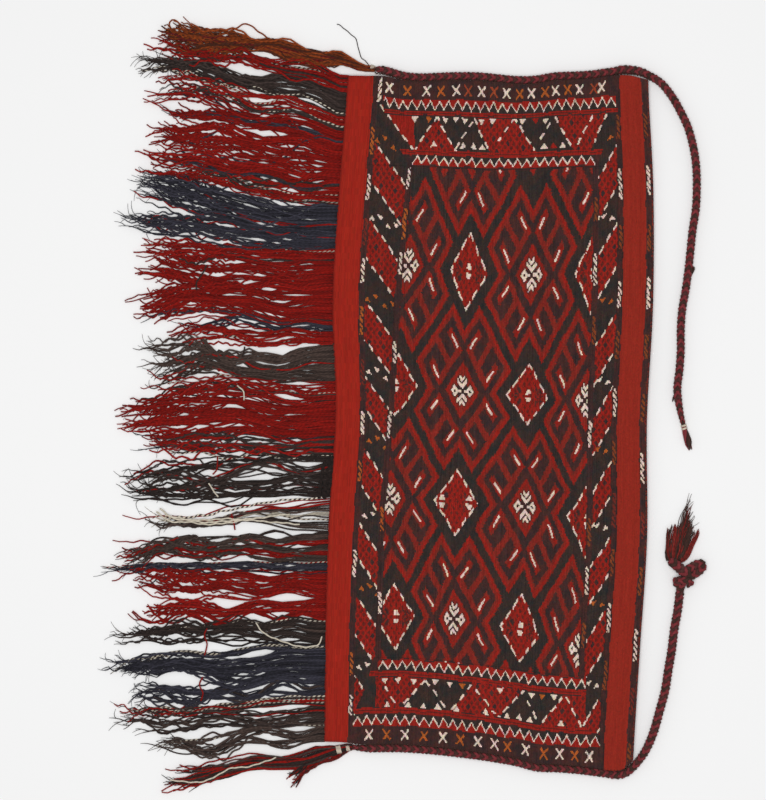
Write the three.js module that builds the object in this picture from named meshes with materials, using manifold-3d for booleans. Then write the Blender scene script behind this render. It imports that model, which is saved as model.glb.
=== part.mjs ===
// A nomad's flat-woven storage bag, lying on its back with its fringe spread out.
// The cloth is one weave, folded double at the fringed edge and sewn up along both short sides.
// X runs from the fold to the mouth, Y along the width and Z up, from under the middle of the back.

import * as THREE from 'three';
import Module from 'manifold-3d';
import { mergeVertices } from 'three/addons/utils/BufferGeometryUtils.js';

const wasm = await Module();
wasm.setup();

// Outline of the cloth as it lies, in millimetres
const foldWidth = 960;
const mouthWidth = 995;
const upperDepth = 432;
const lowerDepth = 444;
const foldLean = 34;
const foldRise = 14;

// How far each edge strays from the straight line between its corners, at even steps along it
const foldBow = bow([0, -7, -11, -1, -5, -4, 0]);
const mouthBow = bow([0, 11, 14, 9, 13, 6, 0]);
const upperBow = bow([0, -4, -9, -3, 0]);
const lowerBow = bow([0, 10, 7, -3, 0]);

// Layers of the folded cloth
const backThickness = 3;
const pocketGap = 6;
const frontThickness = 3.6;
const foldThickness = 7;
const sideSeam = 9;
const noseSteps = 3;
const wholeSteps = [10, 12];
const pocketSteps = [3, 6];
const clearance = 0.3;

// Brocade on the front: stripes across the depth, counted from the fold and from the mouth
const foldBand = 34;
const guardStripe = 8;
const foldBorder = 46;
const mouthStrip = 12;
const mouthBand = 31;
const mouthBorder = 25;

// Brocade rows along the width, counted from either side
const crossRow = 29;
const zigzagRow = 16;
const redLine = 7;
const endBorder = 50;

// Brocade motifs
const ridgeHeight = 0.8;
const ridgeRoot = 1.2;
const medallionPitchAcross = 91;
const medallionPitchAlong = 170;
const firstMedallionRow = 149;
const lozengeHeight = 57;
const lozengeSlant = 53;
const endStripeWidth = 56;
const endStripeSlant = 27;
const crossPitch = 38;
const crossSize = 14;
const crossStroke = 3;
const toothPitch = 26;
const toothGap = 3;
const toothInset = 1;
const fieldStep = 90;

// Medallion lines, along the two slopes of the weave in tenths of the pitch
const ribbon = 0.7;
const crossReach = 9.2;
const crossNotch = 5;
const hookSpan = 3;
const hookBase = 3.9;
const hookReach = 7.2;
const ringReach = 2.5;
const flowerReach = 1.3;
const diamondReach = 3;

// Braids sewn along the sides, their wound ends and the loose tassels
const braidDiameter = 13;
const braidStep = 2.5 * braidDiameter;
const turningStep = 1.1 * braidDiameter;
const braidStart = 40;
const braidEndLift = 5;
const braidEndShare = 0.2;
const sewnPoints = 15;
const upperBindingLength = 10;
const upperBindingDiameter = 9;
const lowerBindingLength = 17;
const lowerBindingDiameter = 16;
const whippingLength = 8;
const whippingDiameter = 11;
const barrelProfile = [[0, 0], [0.8, 0], [1, 0.3], [1, 0.7], [0.8, 1], [0, 1]];
const roundSides = 8;
const tasselStrandWidth = 6;
const tasselRootPitch = 2.4;
const tasselNeck = 0.2;
const tasselSteps = 3;
const groundLift = 0.1;

// Strands of the fringe, which spread at the fold, draw together and taper to their tips
const strandPitch = 11;
const strandHeight = 5;
const rootHeight = 8;
const rootSpread = 1.35;
const strandSlimness = 0.7;
const strandTip = 0.4;
const strandSteps = 5;
const strandWave = 5;
const waveTurn = 9;
const wavePitch = 60;
const lengthSpread = 0.12;
const lockGather = 0.45;
const lockGap = 0.5;

// Yarn colours
const bandRed = 0x92261c;
const yarnRed = 0x86201a;
const yarnBlack = 0x3c302e;
const yarnNavy = 0x2f3040;
const yarnBrown = 0x46342f;
const yarnRust = 0x8e4a24;
const yarnWhite = 0xd9d0c4;
const braidBrown = 0x55302a;

// Each lock's share of the fold, its length, how far its tips drift up, and its yarn
const fringeLocks = [
  { share: 15, reach: 284, drift: 13, colour: yarnRed },
  { share: 23, reach: 262, drift: 9, colour: yarnBlack },
  { share: 22, reach: 292, drift: 16, colour: yarnBlack },
  { share: 47, reach: 281, drift: 22, colour: yarnRed },
  { share: 20, reach: 300, drift: 13, colour: yarnRed },
  { share: 43, reach: 282, drift: 4, colour: yarnNavy },
  { share: 40, reach: 292, drift: 6, colour: yarnRed },
  { share: 38, reach: 298, drift: 13, colour: yarnRed },
  { share: 17, reach: 285, drift: 17, colour: yarnNavy },
  { share: 40, reach: 279, drift: 4, colour: yarnBrown },
  { share: 13, reach: 310, drift: 6, colour: yarnRed },
  { share: 42, reach: 325, drift: -4, colour: yarnRed },
  { share: 16, reach: 282, drift: -15, colour: yarnBlack },
  { share: 41, reach: 310, drift: -17, colour: yarnBlack },
  { share: 35, reach: 281, drift: -12, colour: yarnBrown },
  { share: 30, reach: 314, drift: -20, colour: yarnBrown },
  { share: 11, reach: 307, drift: -19, colour: yarnNavy },
  { share: 47, reach: 305, drift: -6, colour: yarnRed },
  { share: 25, reach: 325, drift: -12, colour: yarnBlack },
  { share: 50, reach: 324, drift: -7, colour: yarnNavy },
  { share: 11, reach: 308, drift: -14, colour: yarnWhite },
  { share: 39, reach: 301, drift: -22, colour: yarnBrown },
];

// Free tie cords: centre lines on the ground, from the mouth's corners to their ends
const upperTieRoute = [
  [230.5, 497.4], [240, 497.6], [252, 489.5], [262, 472], [277, 441], [289, 412], [296, 383],
  [299.5, 355], [300, 326], [298.5, 297], [294, 268], [291, 239], [288, 211], [284, 182],
  [279, 153], [277, 124], [277, 95], [275, 66], [272, 38], [276, 9], [281, -12],
];
const lowerTieRoute = [
  [208.5, -511.4], [214.5, -511.5], [221.5, -504.5], [226, -494], [230, -479], [239, -451], [246, -423],
  [254, -394], [259, -365], [263.5, -336], [266.5, -307], [271, -279], [274, -250],
];

// The overhand knot at the lower tie's end: a bight and a tail drawn through a flat turn
const knotBight = [
  [274.1, -249.6], [274.8, -243], [281, -235], [292, -229], [306, -222], [314, -212], [308, -203],
  [296, -207], [284, -215],
];
const knotTail = [[286, -219], [276, -211], [268, -204]];
const knotTurn = [280, -234];
const knotTurnSize = [30, 20, 21];

// Ends of the strands of each loose tassel
const upperTasselTips = [[-496, 570], [-452, 558], [-492, 545], [-424, 526]];
const lowerTasselTips = [[-452, -511], [-400, -517], [-468, -526], [-300, -541]];
const tieTasselTips = [[304, -148], [285, -118], [270, -136], [252, -154]];
const tieTuftTips = [[283, -43], [296, -41]];

const clothTop = backThickness + pocketGap + frontThickness;
const clothDepth = (upperDepth + lowerDepth) / 2;
const clothWidth = (foldWidth + mouthWidth) / 2;
const braidRadius = braidDiameter / 2;
const upward = new THREE.Vector3(0, 0, 1);

// A smooth edge offset through values at even steps, read by its share of the edge
function bow(offsets) {
  const last = offsets.length - 1;
  const curve = new THREE.SplineCurve(offsets.map((offset, i) => new THREE.Vector2(i / last, offset)));
  return (share) => curve.getPoint(THREE.MathUtils.clamp(share, 0, 1)).y;
}

// A point of the lying cloth, from its share of the way to the mouth and to the lower side
function onCloth(toMouth, toLower) {
  const { lerp } = THREE.MathUtils;
  const foldX = foldLean * (0.5 - toLower) - (upperDepth + lowerDepth) / 4;
  const depth = lerp(upperDepth, lowerDepth, toLower);
  const width = lerp(foldWidth, mouthWidth, toMouth);
  const strayX = lerp(foldBow(toLower), mouthBow(toLower), toMouth);
  const strayY = lerp(upperBow(toMouth), lowerBow(toMouth), toLower);
  const y = foldRise * (0.5 - toMouth) + width * (0.5 - toLower) + strayY;
  return new THREE.Vector3(foldX + depth * toMouth + strayX, y, 0);
}

// Moves every point of a geometry to where a rule puts it
function reshape(geometry, rule) {
  const position = geometry.attributes.position;
  const point = new THREE.Vector3();
  for (let i = 0; i < position.count; i += 1) {
    point.fromBufferAttribute(position, i);
    const moved = rule(point);
    position.setXYZ(i, moved.x, moved.y, moved.z);
  }
  return geometry;
}

// A solid that can be joined and cut, from a closed geometry
function solid(geometry) {
  geometry.deleteAttribute('normal');
  geometry.deleteAttribute('uv');
  const welded = mergeVertices(geometry);
  return new wasm.Manifold(new wasm.Mesh({
    numProp: 3,
    vertProperties: welded.attributes.position.array,
    triVerts: Uint32Array.from(welded.index.array),
  }));
}

const joined = (solids) => solids.reduce((whole, next) => whole.add(next));

// A named mesh in one yarn colour, from a joined solid
function mesh(name, body, colour) {
  const { vertProperties, triVerts } = body.getMesh();
  const geometry = new THREE.BufferGeometry();
  geometry.setAttribute('position', new THREE.BufferAttribute(vertProperties, 3));
  geometry.setIndex(new THREE.BufferAttribute(triVerts, 1));
  const faceted = geometry.toNonIndexed();
  faceted.computeVertexNormals();
  const wool = new THREE.MeshStandardMaterial({ color: colour, roughness: 0.95, metalness: 0 });
  const part = new THREE.Mesh(faceted, wool);
  part.name = name;
  return part;
}

// A flat layer of the cloth whose fold end is rounded
function foldedLayer(fromFold, toMouth, inFromSides, low, high, steps) {
  const nose = (high - low) / 2;
  const box = new THREE.BoxGeometry(1, 1, 1, ...steps, noseSteps);
  return solid(reshape(box, ({ x, y, z }) => {
    const along = x + 0.5;
    const round = along === 0;
    const depth = round
      ? fromFold + nose * (1 - Math.cos(Math.PI * z))
      : fromFold + nose + (toMouth - fromFold - nose) * along;
    const height = round ? nose * Math.sin(Math.PI * z) : 2 * nose * z;
    const across = inFromSides + (clothWidth - 2 * inFromSides) * (0.5 - y);
    return onCloth(depth / clothDepth, across / clothWidth).setZ((low + high) / 2 + height);
  }));
}

// An outline on the lying front, from points in millimetres from the fold and the upper side
const laidOut = (outline) => outline.map(([depth, across]) => {
  const { x, y } = onCloth(depth / clothDepth, across / clothWidth);
  return new THREE.Vector2(x, y);
});

// A patch of brocade, one or more layers high, with an outline and, on a ribbon, an inside edge
function patch(outline, { inside = [], layers = 1 } = {}) {
  const shape = new THREE.Shape(laidOut(outline));
  if (inside.length > 0) shape.holes.push(new THREE.Path(laidOut(inside)));
  const depth = ridgeRoot + layers * ridgeHeight;
  const raised = new THREE.ExtrudeGeometry(shape, { depth, bevelEnabled: false });
  return solid(raised.translate(0, 0, clothTop - ridgeRoot));
}

// A straight-sided field of the front, with enough points to follow the cloth's edges
function field(left, top, right, bottom, layers = 1) {
  const deep = Math.ceil((right - left) / fieldStep);
  const wide = Math.ceil((bottom - top) / fieldStep);
  const outline = [];
  for (let i = 0; i < deep; i += 1) outline.push([left + ((right - left) * i) / deep, top]);
  for (let i = 0; i < wide; i += 1) outline.push([right, top + ((bottom - top) * i) / wide]);
  for (let i = deep; i > 0; i -= 1) outline.push([left + ((right - left) * i) / deep, bottom]);
  for (let i = wide; i > 0; i -= 1) outline.push([left, top + ((bottom - top) * i) / wide]);
  return patch(outline, { layers });
}

// Stripes of the front, worked out from the edges inward
const borderLeft = foldBand + guardStripe;
const borderRight = clothDepth - mouthStrip - mouthBand - guardStripe;
const fieldLeft = borderLeft + foldBorder;
const fieldRight = borderRight - mouthBorder;
const outerZigzag = crossRow;
const outerLine = outerZigzag + zigzagRow;
const endStripes = outerLine + redLine;
const innerLine = endStripes + endBorder;
const innerZigzag = innerLine + redLine;
const fieldTop = innerZigzag + zigzagRow;
const fieldBottom = clothWidth - fieldTop;

// Points of a motif, given along the two slopes of the weave in tenths of the medallions' pitch
const sloped = (centre, points) => points.map(([p, q]) => [
  centre[0] + ((p + q) / 20) * medallionPitchAcross,
  centre[1] + ((p - q) / 20) * medallionPitchAlong,
]);

// A path repeated at each quarter turn about a motif's centre
function fourfold(path) {
  const turns = [([p, q]) => [p, q], ([p, q]) => [-q, p], ([p, q]) => [-p, -q], ([p, q]) => [q, -p]];
  return turns.flatMap((turn) => path.map(turn));
}

// A hooked medallion: a cross-shaped ribbon with a three-pronged hook in each arm, round a flower
function medallion(centre) {
  const outer = fourfold([[crossNotch, crossReach], [-crossNotch, crossReach], [-crossNotch, crossNotch]]);
  const flank = crossNotch - ribbon;
  const tip = crossReach - ribbon;
  const stem = ribbon / 2;
  const prong = hookSpan - ribbon;
  const bar = hookBase + ribbon;
  const inside = fourfold([
    [flank, flank], [flank, tip], [stem, tip], [stem, bar], [prong, bar], [prong, hookReach],
    [hookSpan, hookReach], [hookSpan, hookBase], [-hookSpan, hookBase], [-hookSpan, hookReach],
    [-prong, hookReach], [-prong, bar], [-stem, bar], [-stem, tip], [-flank, tip],
  ]);
  const diamond = (reach) => sloped(centre, fourfold([[reach, reach]]));
  return [
    patch(sloped(centre, outer), { inside: sloped(centre, inside) }),
    patch(diamond(ringReach)),
    patch(diamond(flowerReach), { layers: 2 }),
  ];
}

const outlinedDiamond = (centre) => [patch(sloped(centre, fourfold([[diamondReach, diamondReach]])))];

// The field's motifs: medallions and diamonds by turns, cut off at the borders as the weaver left them
function fieldMotifs() {
  const motifs = [];
  const middle = (fieldLeft + fieldRight) / 2;
  const columns = Math.ceil((fieldRight - fieldLeft) / medallionPitchAcross / 2 + 0.5);
  const rows = Math.ceil((fieldBottom - fieldTop - firstMedallionRow) / medallionPitchAlong);
  for (let row = -1; row < rows; row += 1) {
    for (let column = -columns; column < columns; column += 1) {
      const depth = middle + (column + 0.5) * medallionPitchAcross;
      const across = fieldTop + firstMedallionRow + row * medallionPitchAlong;
      const nearField = Math.abs(depth - middle) < (fieldRight - fieldLeft) / 2 + medallionPitchAcross;
      const motif = (row + column) % 2 === 0 ? medallion : outlinedDiamond;
      if (nearField) motifs.push(...motif([depth, across]));
    }
  }
  return joined(motifs).intersect(field(fieldLeft, fieldTop, fieldRight, fieldBottom, 2));
}

// Red lozenges that slant down a side border, towards the mouth or back from it
function sideLozenges(left, right, towardsMouth) {
  const top = innerLine;
  const bottom = clothWidth - innerLine;
  const lozenges = [];
  for (let start = top - lozengeSlant; start < bottom; start += 2 * lozengeHeight) {
    const fromLeft = towardsMouth ? start : start + lozengeSlant;
    const fromRight = towardsMouth ? start + lozengeSlant : start;
    lozenges.push(patch([
      [left, fromLeft],
      [right, fromRight],
      [right, fromRight + lozengeHeight],
      [left, fromLeft + lozengeHeight],
    ]));
  }
  return joined(lozenges).intersect(field(left, top, right, bottom));
}

// Slanted red stripes along an end border
function endSlants(top, slant) {
  const stripes = [];
  const bottom = top + endBorder;
  for (let left = fieldLeft; left + endStripeWidth < fieldRight; left += 2 * endStripeWidth) {
    const right = left + endStripeWidth;
    stripes.push(patch([[left, top], [right, top], [right + slant, bottom], [left + slant, bottom]]));
  }
  return stripes;
}

// One cross of two slanted strokes
function cross(depth, across) {
  const half = crossSize / 2;
  const stroke = crossStroke / Math.SQRT2;
  const arm = [[stroke, 0], [half, half - stroke], [half - stroke, half]];
  return patch(fourfold(arm).map(([a, b]) => [depth + a, across + b]));
}

function crossRowAt(across) {
  const count = Math.floor((borderRight - borderLeft) / crossPitch);
  const first = (borderLeft + borderRight - (count - 1) * crossPitch) / 2;
  return Array.from({ length: count }, (_, i) => cross(first + i * crossPitch, across));
}

// A row of pointed teeth that hang from one height to another
function teeth(left, right, base, tip) {
  const count = Math.floor((right - left) / toothPitch);
  const pitch = (right - left) / count;
  return Array.from({ length: count }, (_, i) => {
    const middle = left + (i + 0.5) * pitch;
    const half = pitch / 2 - toothInset;
    return patch([[middle - half, base], [middle + half, base], [middle, tip]]);
  });
}

// The rows of one end of the front, from its side inward
function endRows(place) {
  const low = (from, height) => Math.min(place(from), place(from + height));
  const line = (left, right, from) => field(left, low(from, redLine), right, low(from, redLine) + redLine);
  return [
    ...crossRowAt(place(crossRow / 2)),
    ...teeth(borderLeft, borderRight, place(outerZigzag), place(outerLine - toothGap)),
    line(borderLeft, borderRight, outerLine),
    line(fieldLeft, fieldRight, innerLine),
    ...teeth(fieldLeft, fieldRight, place(fieldTop - toothInset), place(innerZigzag + toothGap)),
  ];
}

// All that stands proud of the front's ground weave
function brocade() {
  const fromUpper = (across) => across;
  const fromLower = (across) => clothWidth - across;
  return joined([
    fieldMotifs(),
    sideLozenges(borderLeft, fieldLeft - guardStripe / 2, true),
    sideLozenges(fieldRight + guardStripe / 2, borderRight, false),
    ...endSlants(endStripes, endStripeSlant),
    ...endSlants(fromLower(endStripes + endBorder), -endStripeSlant),
    ...endRows(fromUpper),
    ...endRows(fromLower),
    field(clothDepth - mouthStrip, sideSeam, clothDepth, clothWidth - sideSeam),
  ]);
}

// The whole cloth: back, fold and front round an open pocket, with its brocade
function bagCloth() {
  const pastMouth = clothDepth + mouthStrip;
  const pocketTop = backThickness + pocketGap;
  const whole = foldedLayer(0, clothDepth, 0, 0, clothTop, wholeSteps);
  const pocket = foldedLayer(foldThickness, pastMouth, sideSeam, backThickness, pocketTop, pocketSteps);
  return mesh('bag_cloth', whole.subtract(pocket).add(brocade()), bandRed);
}

// A round tube of braid along a centre line
function braidTube(points, step) {
  const section = new THREE.Shape().absarc(0, 0, braidRadius, 0, 2 * Math.PI);
  const extrudePath = new THREE.CatmullRomCurve3(points);
  const steps = Math.ceil(extrudePath.getLength() / step);
  return solid(new THREE.ExtrudeGeometry(section, { curveSegments: roundSides / 2, steps, extrudePath }));
}

const onGround = (route) => route.map(([x, y]) => new THREE.Vector3(x, y, braidRadius + groundLift));

// Centre line of the braid sewn along one side; its end by the fold stands off the cloth
function sewnRoute(toLower) {
  const outward = toLower === 0 ? 1 : -1;
  return Array.from({ length: sewnPoints }, (_, i) => {
    const along = i / (sewnPoints - 1);
    const depth = THREE.MathUtils.lerp(braidStart, clothDepth, along);
    const lift = braidEndLift * Math.max(0, 1 - along / braidEndShare) ** 2;
    const point = onCloth(depth / clothDepth, toLower);
    point.y += outward * (braidRadius + clearance + lift);
    return point.setZ(braidRadius + groundLift);
  });
}

// A barrel of wound thread that starts at one point and runs on in a direction
function binding(name, from, direction, length, diameter) {
  const profile = barrelProfile.map(([r, h]) => new THREE.Vector2((r * diameter) / 2, h * length));
  const barrel = new THREE.LatheGeometry(profile, roundSides);
  barrel.applyQuaternion(new THREE.Quaternion().setFromUnitVectors(new THREE.Vector3(0, 1, 0), direction));
  barrel.translate(from.x, from.y, from.z);
  return mesh(name, solid(barrel), yarnWhite);
}

// A strand lying on the ground: a three-sided bar bent along a path, its size set along its length
function strand(path, steps, widthAt, heightAt) {
  const section = new THREE.Shape([
    new THREE.Vector2(-0.5, 0), new THREE.Vector2(0.5, 0), new THREE.Vector2(0, 1),
  ]);
  const bar = new THREE.ExtrudeGeometry(section, { depth: 1, steps, bevelEnabled: false });
  return solid(reshape(bar, ({ x, y, z: along }) => {
    const side = upward.clone().cross(path.getTangent(along)).normalize();
    return path.getPoint(along)
      .addScaledVector(side, x * widthAt(along))
      .addScaledVector(upward, y * heightAt(along));
  }));
}

// One lock of fringe: strands that meet at the fold, drop to the ground and draw together
function fringeLock(name, { reach, drift, colour }, fromShare, toShare) {
  const span = (toShare - fromShare) * foldWidth - lockGap;
  const count = Math.max(1, Math.round(span / strandPitch));
  const pitch = span / (count - 1 + rootSpread);
  const taper = (along) => THREE.MathUtils.lerp(1, strandTip, along);
  const widthAt = (along) => pitch * (along === 0 ? rootSpread : strandSlimness * taper(along));
  const heightAt = (along) => (along === 0 ? rootHeight : strandHeight * taper(along));
  const strands = Array.from({ length: count }, (_, i) => {
    const offset = (i - (count - 1) / 2) * pitch;
    const root = onCloth(-clearance / clothDepth, (fromShare + toShare) / 2 + offset / foldWidth);
    const length = reach * (1 - lengthSpread * Math.sin(waveTurn * i + span) ** 2);
    const path = new THREE.CatmullRomCurve3(Array.from({ length: strandSteps + 1 }, (_, step) => {
      const along = step / strandSteps;
      const wave = strandWave * along * Math.sin(waveTurn * along + root.y / wavePitch);
      const y = root.y + drift * along * along + offset * lockGather * along + wave;
      const z = step === 0 ? (clothTop - rootHeight) / 2 : groundLift;
      return new THREE.Vector3(root.x - length * along, y, z);
    }));
    return strand(path, strandSteps, widthAt, heightAt);
  });
  return mesh(name, joined(strands), colour);
}

function fringe() {
  const whole = fringeLocks.reduce((sum, lock) => sum + lock.share, 0);
  let used = 0;
  return fringeLocks.map((lock, i) => {
    const fromShare = used / whole;
    used += lock.share;
    return fringeLock(`fringe_lock_${String(i + 1).padStart(2, '0')}`, lock, fromShare, used / whole);
  });
}

// A tassel of loose strands that leave one root side by side and fan out to their tips
function tassel(name, root, onward, tips, colour) {
  const widthAt = (along) => tasselStrandWidth * THREE.MathUtils.lerp(1, strandTip, along);
  const heightAt = (along) => rootHeight * THREE.MathUtils.lerp(1, strandTip, along);
  const side = upward.clone().cross(onward).normalize();
  const strands = tips.map(([x, y], i) => {
    const tip = new THREE.Vector3(x, y, groundLift);
    const offset = (i - (tips.length - 1) / 2) * tasselRootPitch;
    const start = root.clone().addScaledVector(side, offset).setZ(groundLift);
    const away = start.clone().addScaledVector(onward, tip.distanceTo(start) * tasselNeck);
    return strand(new THREE.CatmullRomCurve3([start, away, tip]), tasselSteps, widthAt, heightAt);
  });
  return mesh(name, joined(strands), colour);
}

// One corner at the fold: the sewn braid, its wound end and the tassel that runs on from it
function sewnSide(side, toLower, bindingLength, bindingDiameter, tips, tasselColour) {
  const route = sewnRoute(toLower);
  const outward = route[0].clone().sub(route[1]).normalize();
  const bindingFrom = route[0].clone().addScaledVector(outward, clearance);
  const tasselFrom = bindingFrom.clone().addScaledVector(outward, bindingLength + clearance);
  return [
    mesh(`side_braid_${side}`, braidTube(route, braidStep), braidBrown),
    binding(`corner_binding_${side}`, bindingFrom, outward, bindingLength, bindingDiameter),
    tassel(`corner_tassel_${side}`, tasselFrom, outward, tips, tasselColour),
  ];
}

// The upper tie: a free cord whipped with white thread above its brush of ends
function upperTie() {
  const route = onGround(upperTieRoute);
  const end = route.at(-1);
  const onward = end.clone().sub(route.at(-2)).normalize();
  const whippingFrom = end.clone().addScaledVector(onward, clearance);
  const tuftFrom = whippingFrom.clone().addScaledVector(onward, whippingLength + clearance);
  return [
    mesh('tie_cord_upper', braidTube(route, braidStep), braidBrown),
    binding('tie_whipping_upper', whippingFrom, onward, whippingLength, whippingDiameter),
    tassel('tie_tuft_upper', tuftFrom, onward, tieTuftTips, yarnRed),
  ];
}

// The lower tie: a free cord that ends in an overhand knot with a tassel
function lowerTie() {
  const turn = new THREE.SphereGeometry(0.5, roundSides, roundSides / 2).scale(...knotTurnSize);
  turn.translate(...knotTurn, knotTurnSize[2] / 2 + groundLift);
  const tail = onGround(knotTail);
  const onward = tail.at(-1).clone().sub(tail.at(-2)).normalize();
  const tasselFrom = tail.at(-1).clone().addScaledVector(onward, clearance);
  const cord = braidTube(onGround(lowerTieRoute), turningStep);
  const bight = braidTube(onGround(knotBight), turningStep);
  const end = braidTube(tail, turningStep);
  return [
    mesh('tie_cord_lower', cord, braidBrown),
    mesh('tie_knot_lower', joined([bight, end, solid(turn)]), braidBrown),
    tassel('tie_tassel_lower', tasselFrom, onward, tieTasselTips, yarnRed),
  ];
}

const bag = new THREE.Group();
bag.add(
  bagCloth(),
  ...fringe(),
  ...sewnSide('upper', 0, upperBindingLength, upperBindingDiameter, upperTasselTips, yarnRust),
  ...sewnSide('lower', 1, lowerBindingLength, lowerBindingDiameter, lowerTasselTips, yarnRed),
  ...upperTie(),
  ...lowerTie(),
);

export default bag;
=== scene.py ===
import bpy
import numpy as np
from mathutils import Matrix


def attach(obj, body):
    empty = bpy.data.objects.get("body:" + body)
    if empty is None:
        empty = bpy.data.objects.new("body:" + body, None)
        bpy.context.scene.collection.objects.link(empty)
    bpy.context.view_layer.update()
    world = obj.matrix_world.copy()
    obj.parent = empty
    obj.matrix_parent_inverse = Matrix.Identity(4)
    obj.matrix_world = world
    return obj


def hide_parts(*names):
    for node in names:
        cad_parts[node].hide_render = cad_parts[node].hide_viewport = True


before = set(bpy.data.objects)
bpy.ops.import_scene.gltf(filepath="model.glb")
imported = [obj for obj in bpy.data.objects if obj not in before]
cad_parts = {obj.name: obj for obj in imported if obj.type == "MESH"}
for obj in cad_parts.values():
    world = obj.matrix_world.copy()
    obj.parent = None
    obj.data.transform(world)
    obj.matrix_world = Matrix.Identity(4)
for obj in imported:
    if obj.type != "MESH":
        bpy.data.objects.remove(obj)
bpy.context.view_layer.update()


# Picture table
# A long lens looks straight down on a pale table. A soft sky all round and one broad lamp give the
# even light of a museum's copy stand, and the table keeps the bag's faint shadow.
mm = 0.001
view_middle = (-151.2, 23.8)
view_height = 1152
lens_height = 5000
film_height = 36
table_size = 24000
table_white = 0.97
sky_strength = 0.42
lamp_power = 112
lamp_width = 2400
lamp_place = (-150, -50, 4400)

scene = bpy.context.scene
scene.view_settings.view_transform = "Standard"
camera = bpy.data.objects.new("copy_camera", bpy.data.cameras.new("copy_camera"))
camera.data.sensor_fit = "VERTICAL"
camera.data.sensor_height = film_height
camera.data.lens = film_height * lens_height / view_height
camera.location = (view_middle[0] * mm, view_middle[1] * mm, lens_height * mm)
scene.collection.objects.link(camera)
scene.camera = camera

lamp = bpy.data.objects.new("broad_lamp", bpy.data.lights.new("broad_lamp", "AREA"))
lamp.data.energy = lamp_power
lamp.data.size = lamp_width * mm
lamp.location = [length * mm for length in lamp_place]
lamp.rotation_euler = (-lamp.location).to_track_quat("-Z", "Y").to_euler()
scene.collection.objects.link(lamp)


class Wire:
    """A socket in a node tree. Sums on wires add Math nodes, and node() adds any other node."""

    def __init__(self, tree, socket=None):
        self.tree, self.socket = tree, socket

    def node(self, kind, settings=None, sockets=None, out=0):
        made = self.tree.nodes.new("ShaderNode" + kind)
        for setting, value in (settings or {}).items():
            setattr(made, setting, value)
        for place, value in (sockets or {}).items():
            if isinstance(value, Wire):
                self.tree.links.new(value.socket, made.inputs[place])
            else:
                made.inputs[place].default_value = value
        return Wire(self.tree, made.outputs[out] if len(made.outputs) else None)

    def out(self, name):
        return Wire(self.tree, self.socket.node.outputs[name])

    def math(self, operation, *values):
        return self.node("Math", {"operation": operation}, dict(enumerate(values)))

    def __add__(self, other):
        return self.math("ADD", self, other)

    def __radd__(self, other):
        return self.math("ADD", other, self)

    def __sub__(self, other):
        return self.math("SUBTRACT", self, other)

    def __rsub__(self, other):
        return self.math("SUBTRACT", other, self)

    def __mul__(self, other):
        return self.math("MULTIPLY", self, other)

    def __rmul__(self, other):
        return self.math("MULTIPLY", other, self)

    def __truediv__(self, other):
        return self.math("DIVIDE", self, other)

    def __rtruediv__(self, other):
        return self.math("DIVIDE", other, self)

    def __abs__(self):
        return self.math("ABSOLUTE", self)

    def sine(self):
        return self.math("SINE", self)

    def clamped(self):
        return self.node("Clamp", {}, {0: self})

    def mixed(self, colour, share, blend="MIX"):
        """This colour with another mixed in by a share from 0 to 1."""
        kind = {"data_type": "RGBA", "blend_type": blend}
        return self.node("Mix", kind, {0: share, 6: self, 7: colour}, out=2)


def empty_material(name):
    """A new material, and a wire in its empty node tree."""
    material = bpy.data.materials.new(name)
    material.use_nodes = True
    material.node_tree.nodes.clear()
    return material, Wire(material.node_tree)


table_paint, blank = empty_material("table_paint")
paint = blank.node("BsdfPrincipled", {}, {
    "Base Color": (table_white, table_white, table_white, 1), "Roughness": 0.9,
    "Specular IOR Level": 0.0})
blank.node("OutputMaterial", {}, {"Surface": paint})
half_table = table_size * mm / 2
table_mesh = bpy.data.meshes.new("table")
table_mesh.from_pydata(
    [(x, y, 0) for x, y in ((-1, -1), (1, -1), (1, 1), (-1, 1))], [], [(0, 1, 2, 3)])
table_mesh.materials.append(table_paint)
table = bpy.data.objects.new("table", table_mesh)
table.scale = (half_table, half_table, 1)
scene.collection.objects.link(table)

scene.world = bpy.data.worlds.new("soft_sky")
scene.world.use_nodes = True
scene.world.node_tree.nodes.clear()
blank = Wire(scene.world.node_tree)
ray = blank.node("LightPath", out="Is Camera Ray")
seen = (ray + ray.out("Is Glossy Ray") + ray.out("Is Transmission Ray")).clamped()
sky = blank.node("Background", {}, {
    "Color": (1, 1, 1, 1), "Strength": sky_strength + (table_white - sky_strength) * seen})
blank.node("OutputWorld", {}, {"Surface": sky})


# Tie cords
# Each short side ends past the mouth in a free cord that tied the bag shut. It is the same round
# braid of eight wool strands as the sewn edge, so red chevrons show between brown and maroon ones.
# Two wisps of yarn stick out of the upper cord where strands were pieced.
braid_height = 6.6
braid_pitch = 25
strand_orbit = 3.7
strand_weave = 1.1
strand_radius = 2.1
strand_count = 8
roll_length = 60
slim_loss = 0.4
ring_step = 2.6
upper_tie_route = [
    (230.4, 491), (241.9, 484.6), (250.6, 477.8), (259.2, 467.4), (267.8, 455), (276, 440), (283, 426),
    (289, 411), (296, 383), (299.5, 355), (300, 326), (298.5, 297), (294, 268), (291, 239), (288, 211),
    (284, 182), (279, 153), (277, 124), (277, 95), (275, 66), (272, 38), (276, 9), (281, -12)]
lower_tie_route = [
    (205.5, -507), (211.7, -500.8), (216.5, -495), (221, -489), (225.3, -482.5), (230, -473.5),
    (234.3, -463.5), (239.5, -449), (246.7, -423), (254.5, -394), (259, -365), (264, -336),
    (267.5, -307), (272.5, -279), (276, -250)]
tie_wisps = (
    [(290, 215, 7), (294.5, 213.5, 7), (295.6, 209.5, 6), (293, 205, 5)],
    [(272, 36, 7), (268, 31, 7), (266.5, 27, 6), (266.2, 23, 5)])


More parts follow.
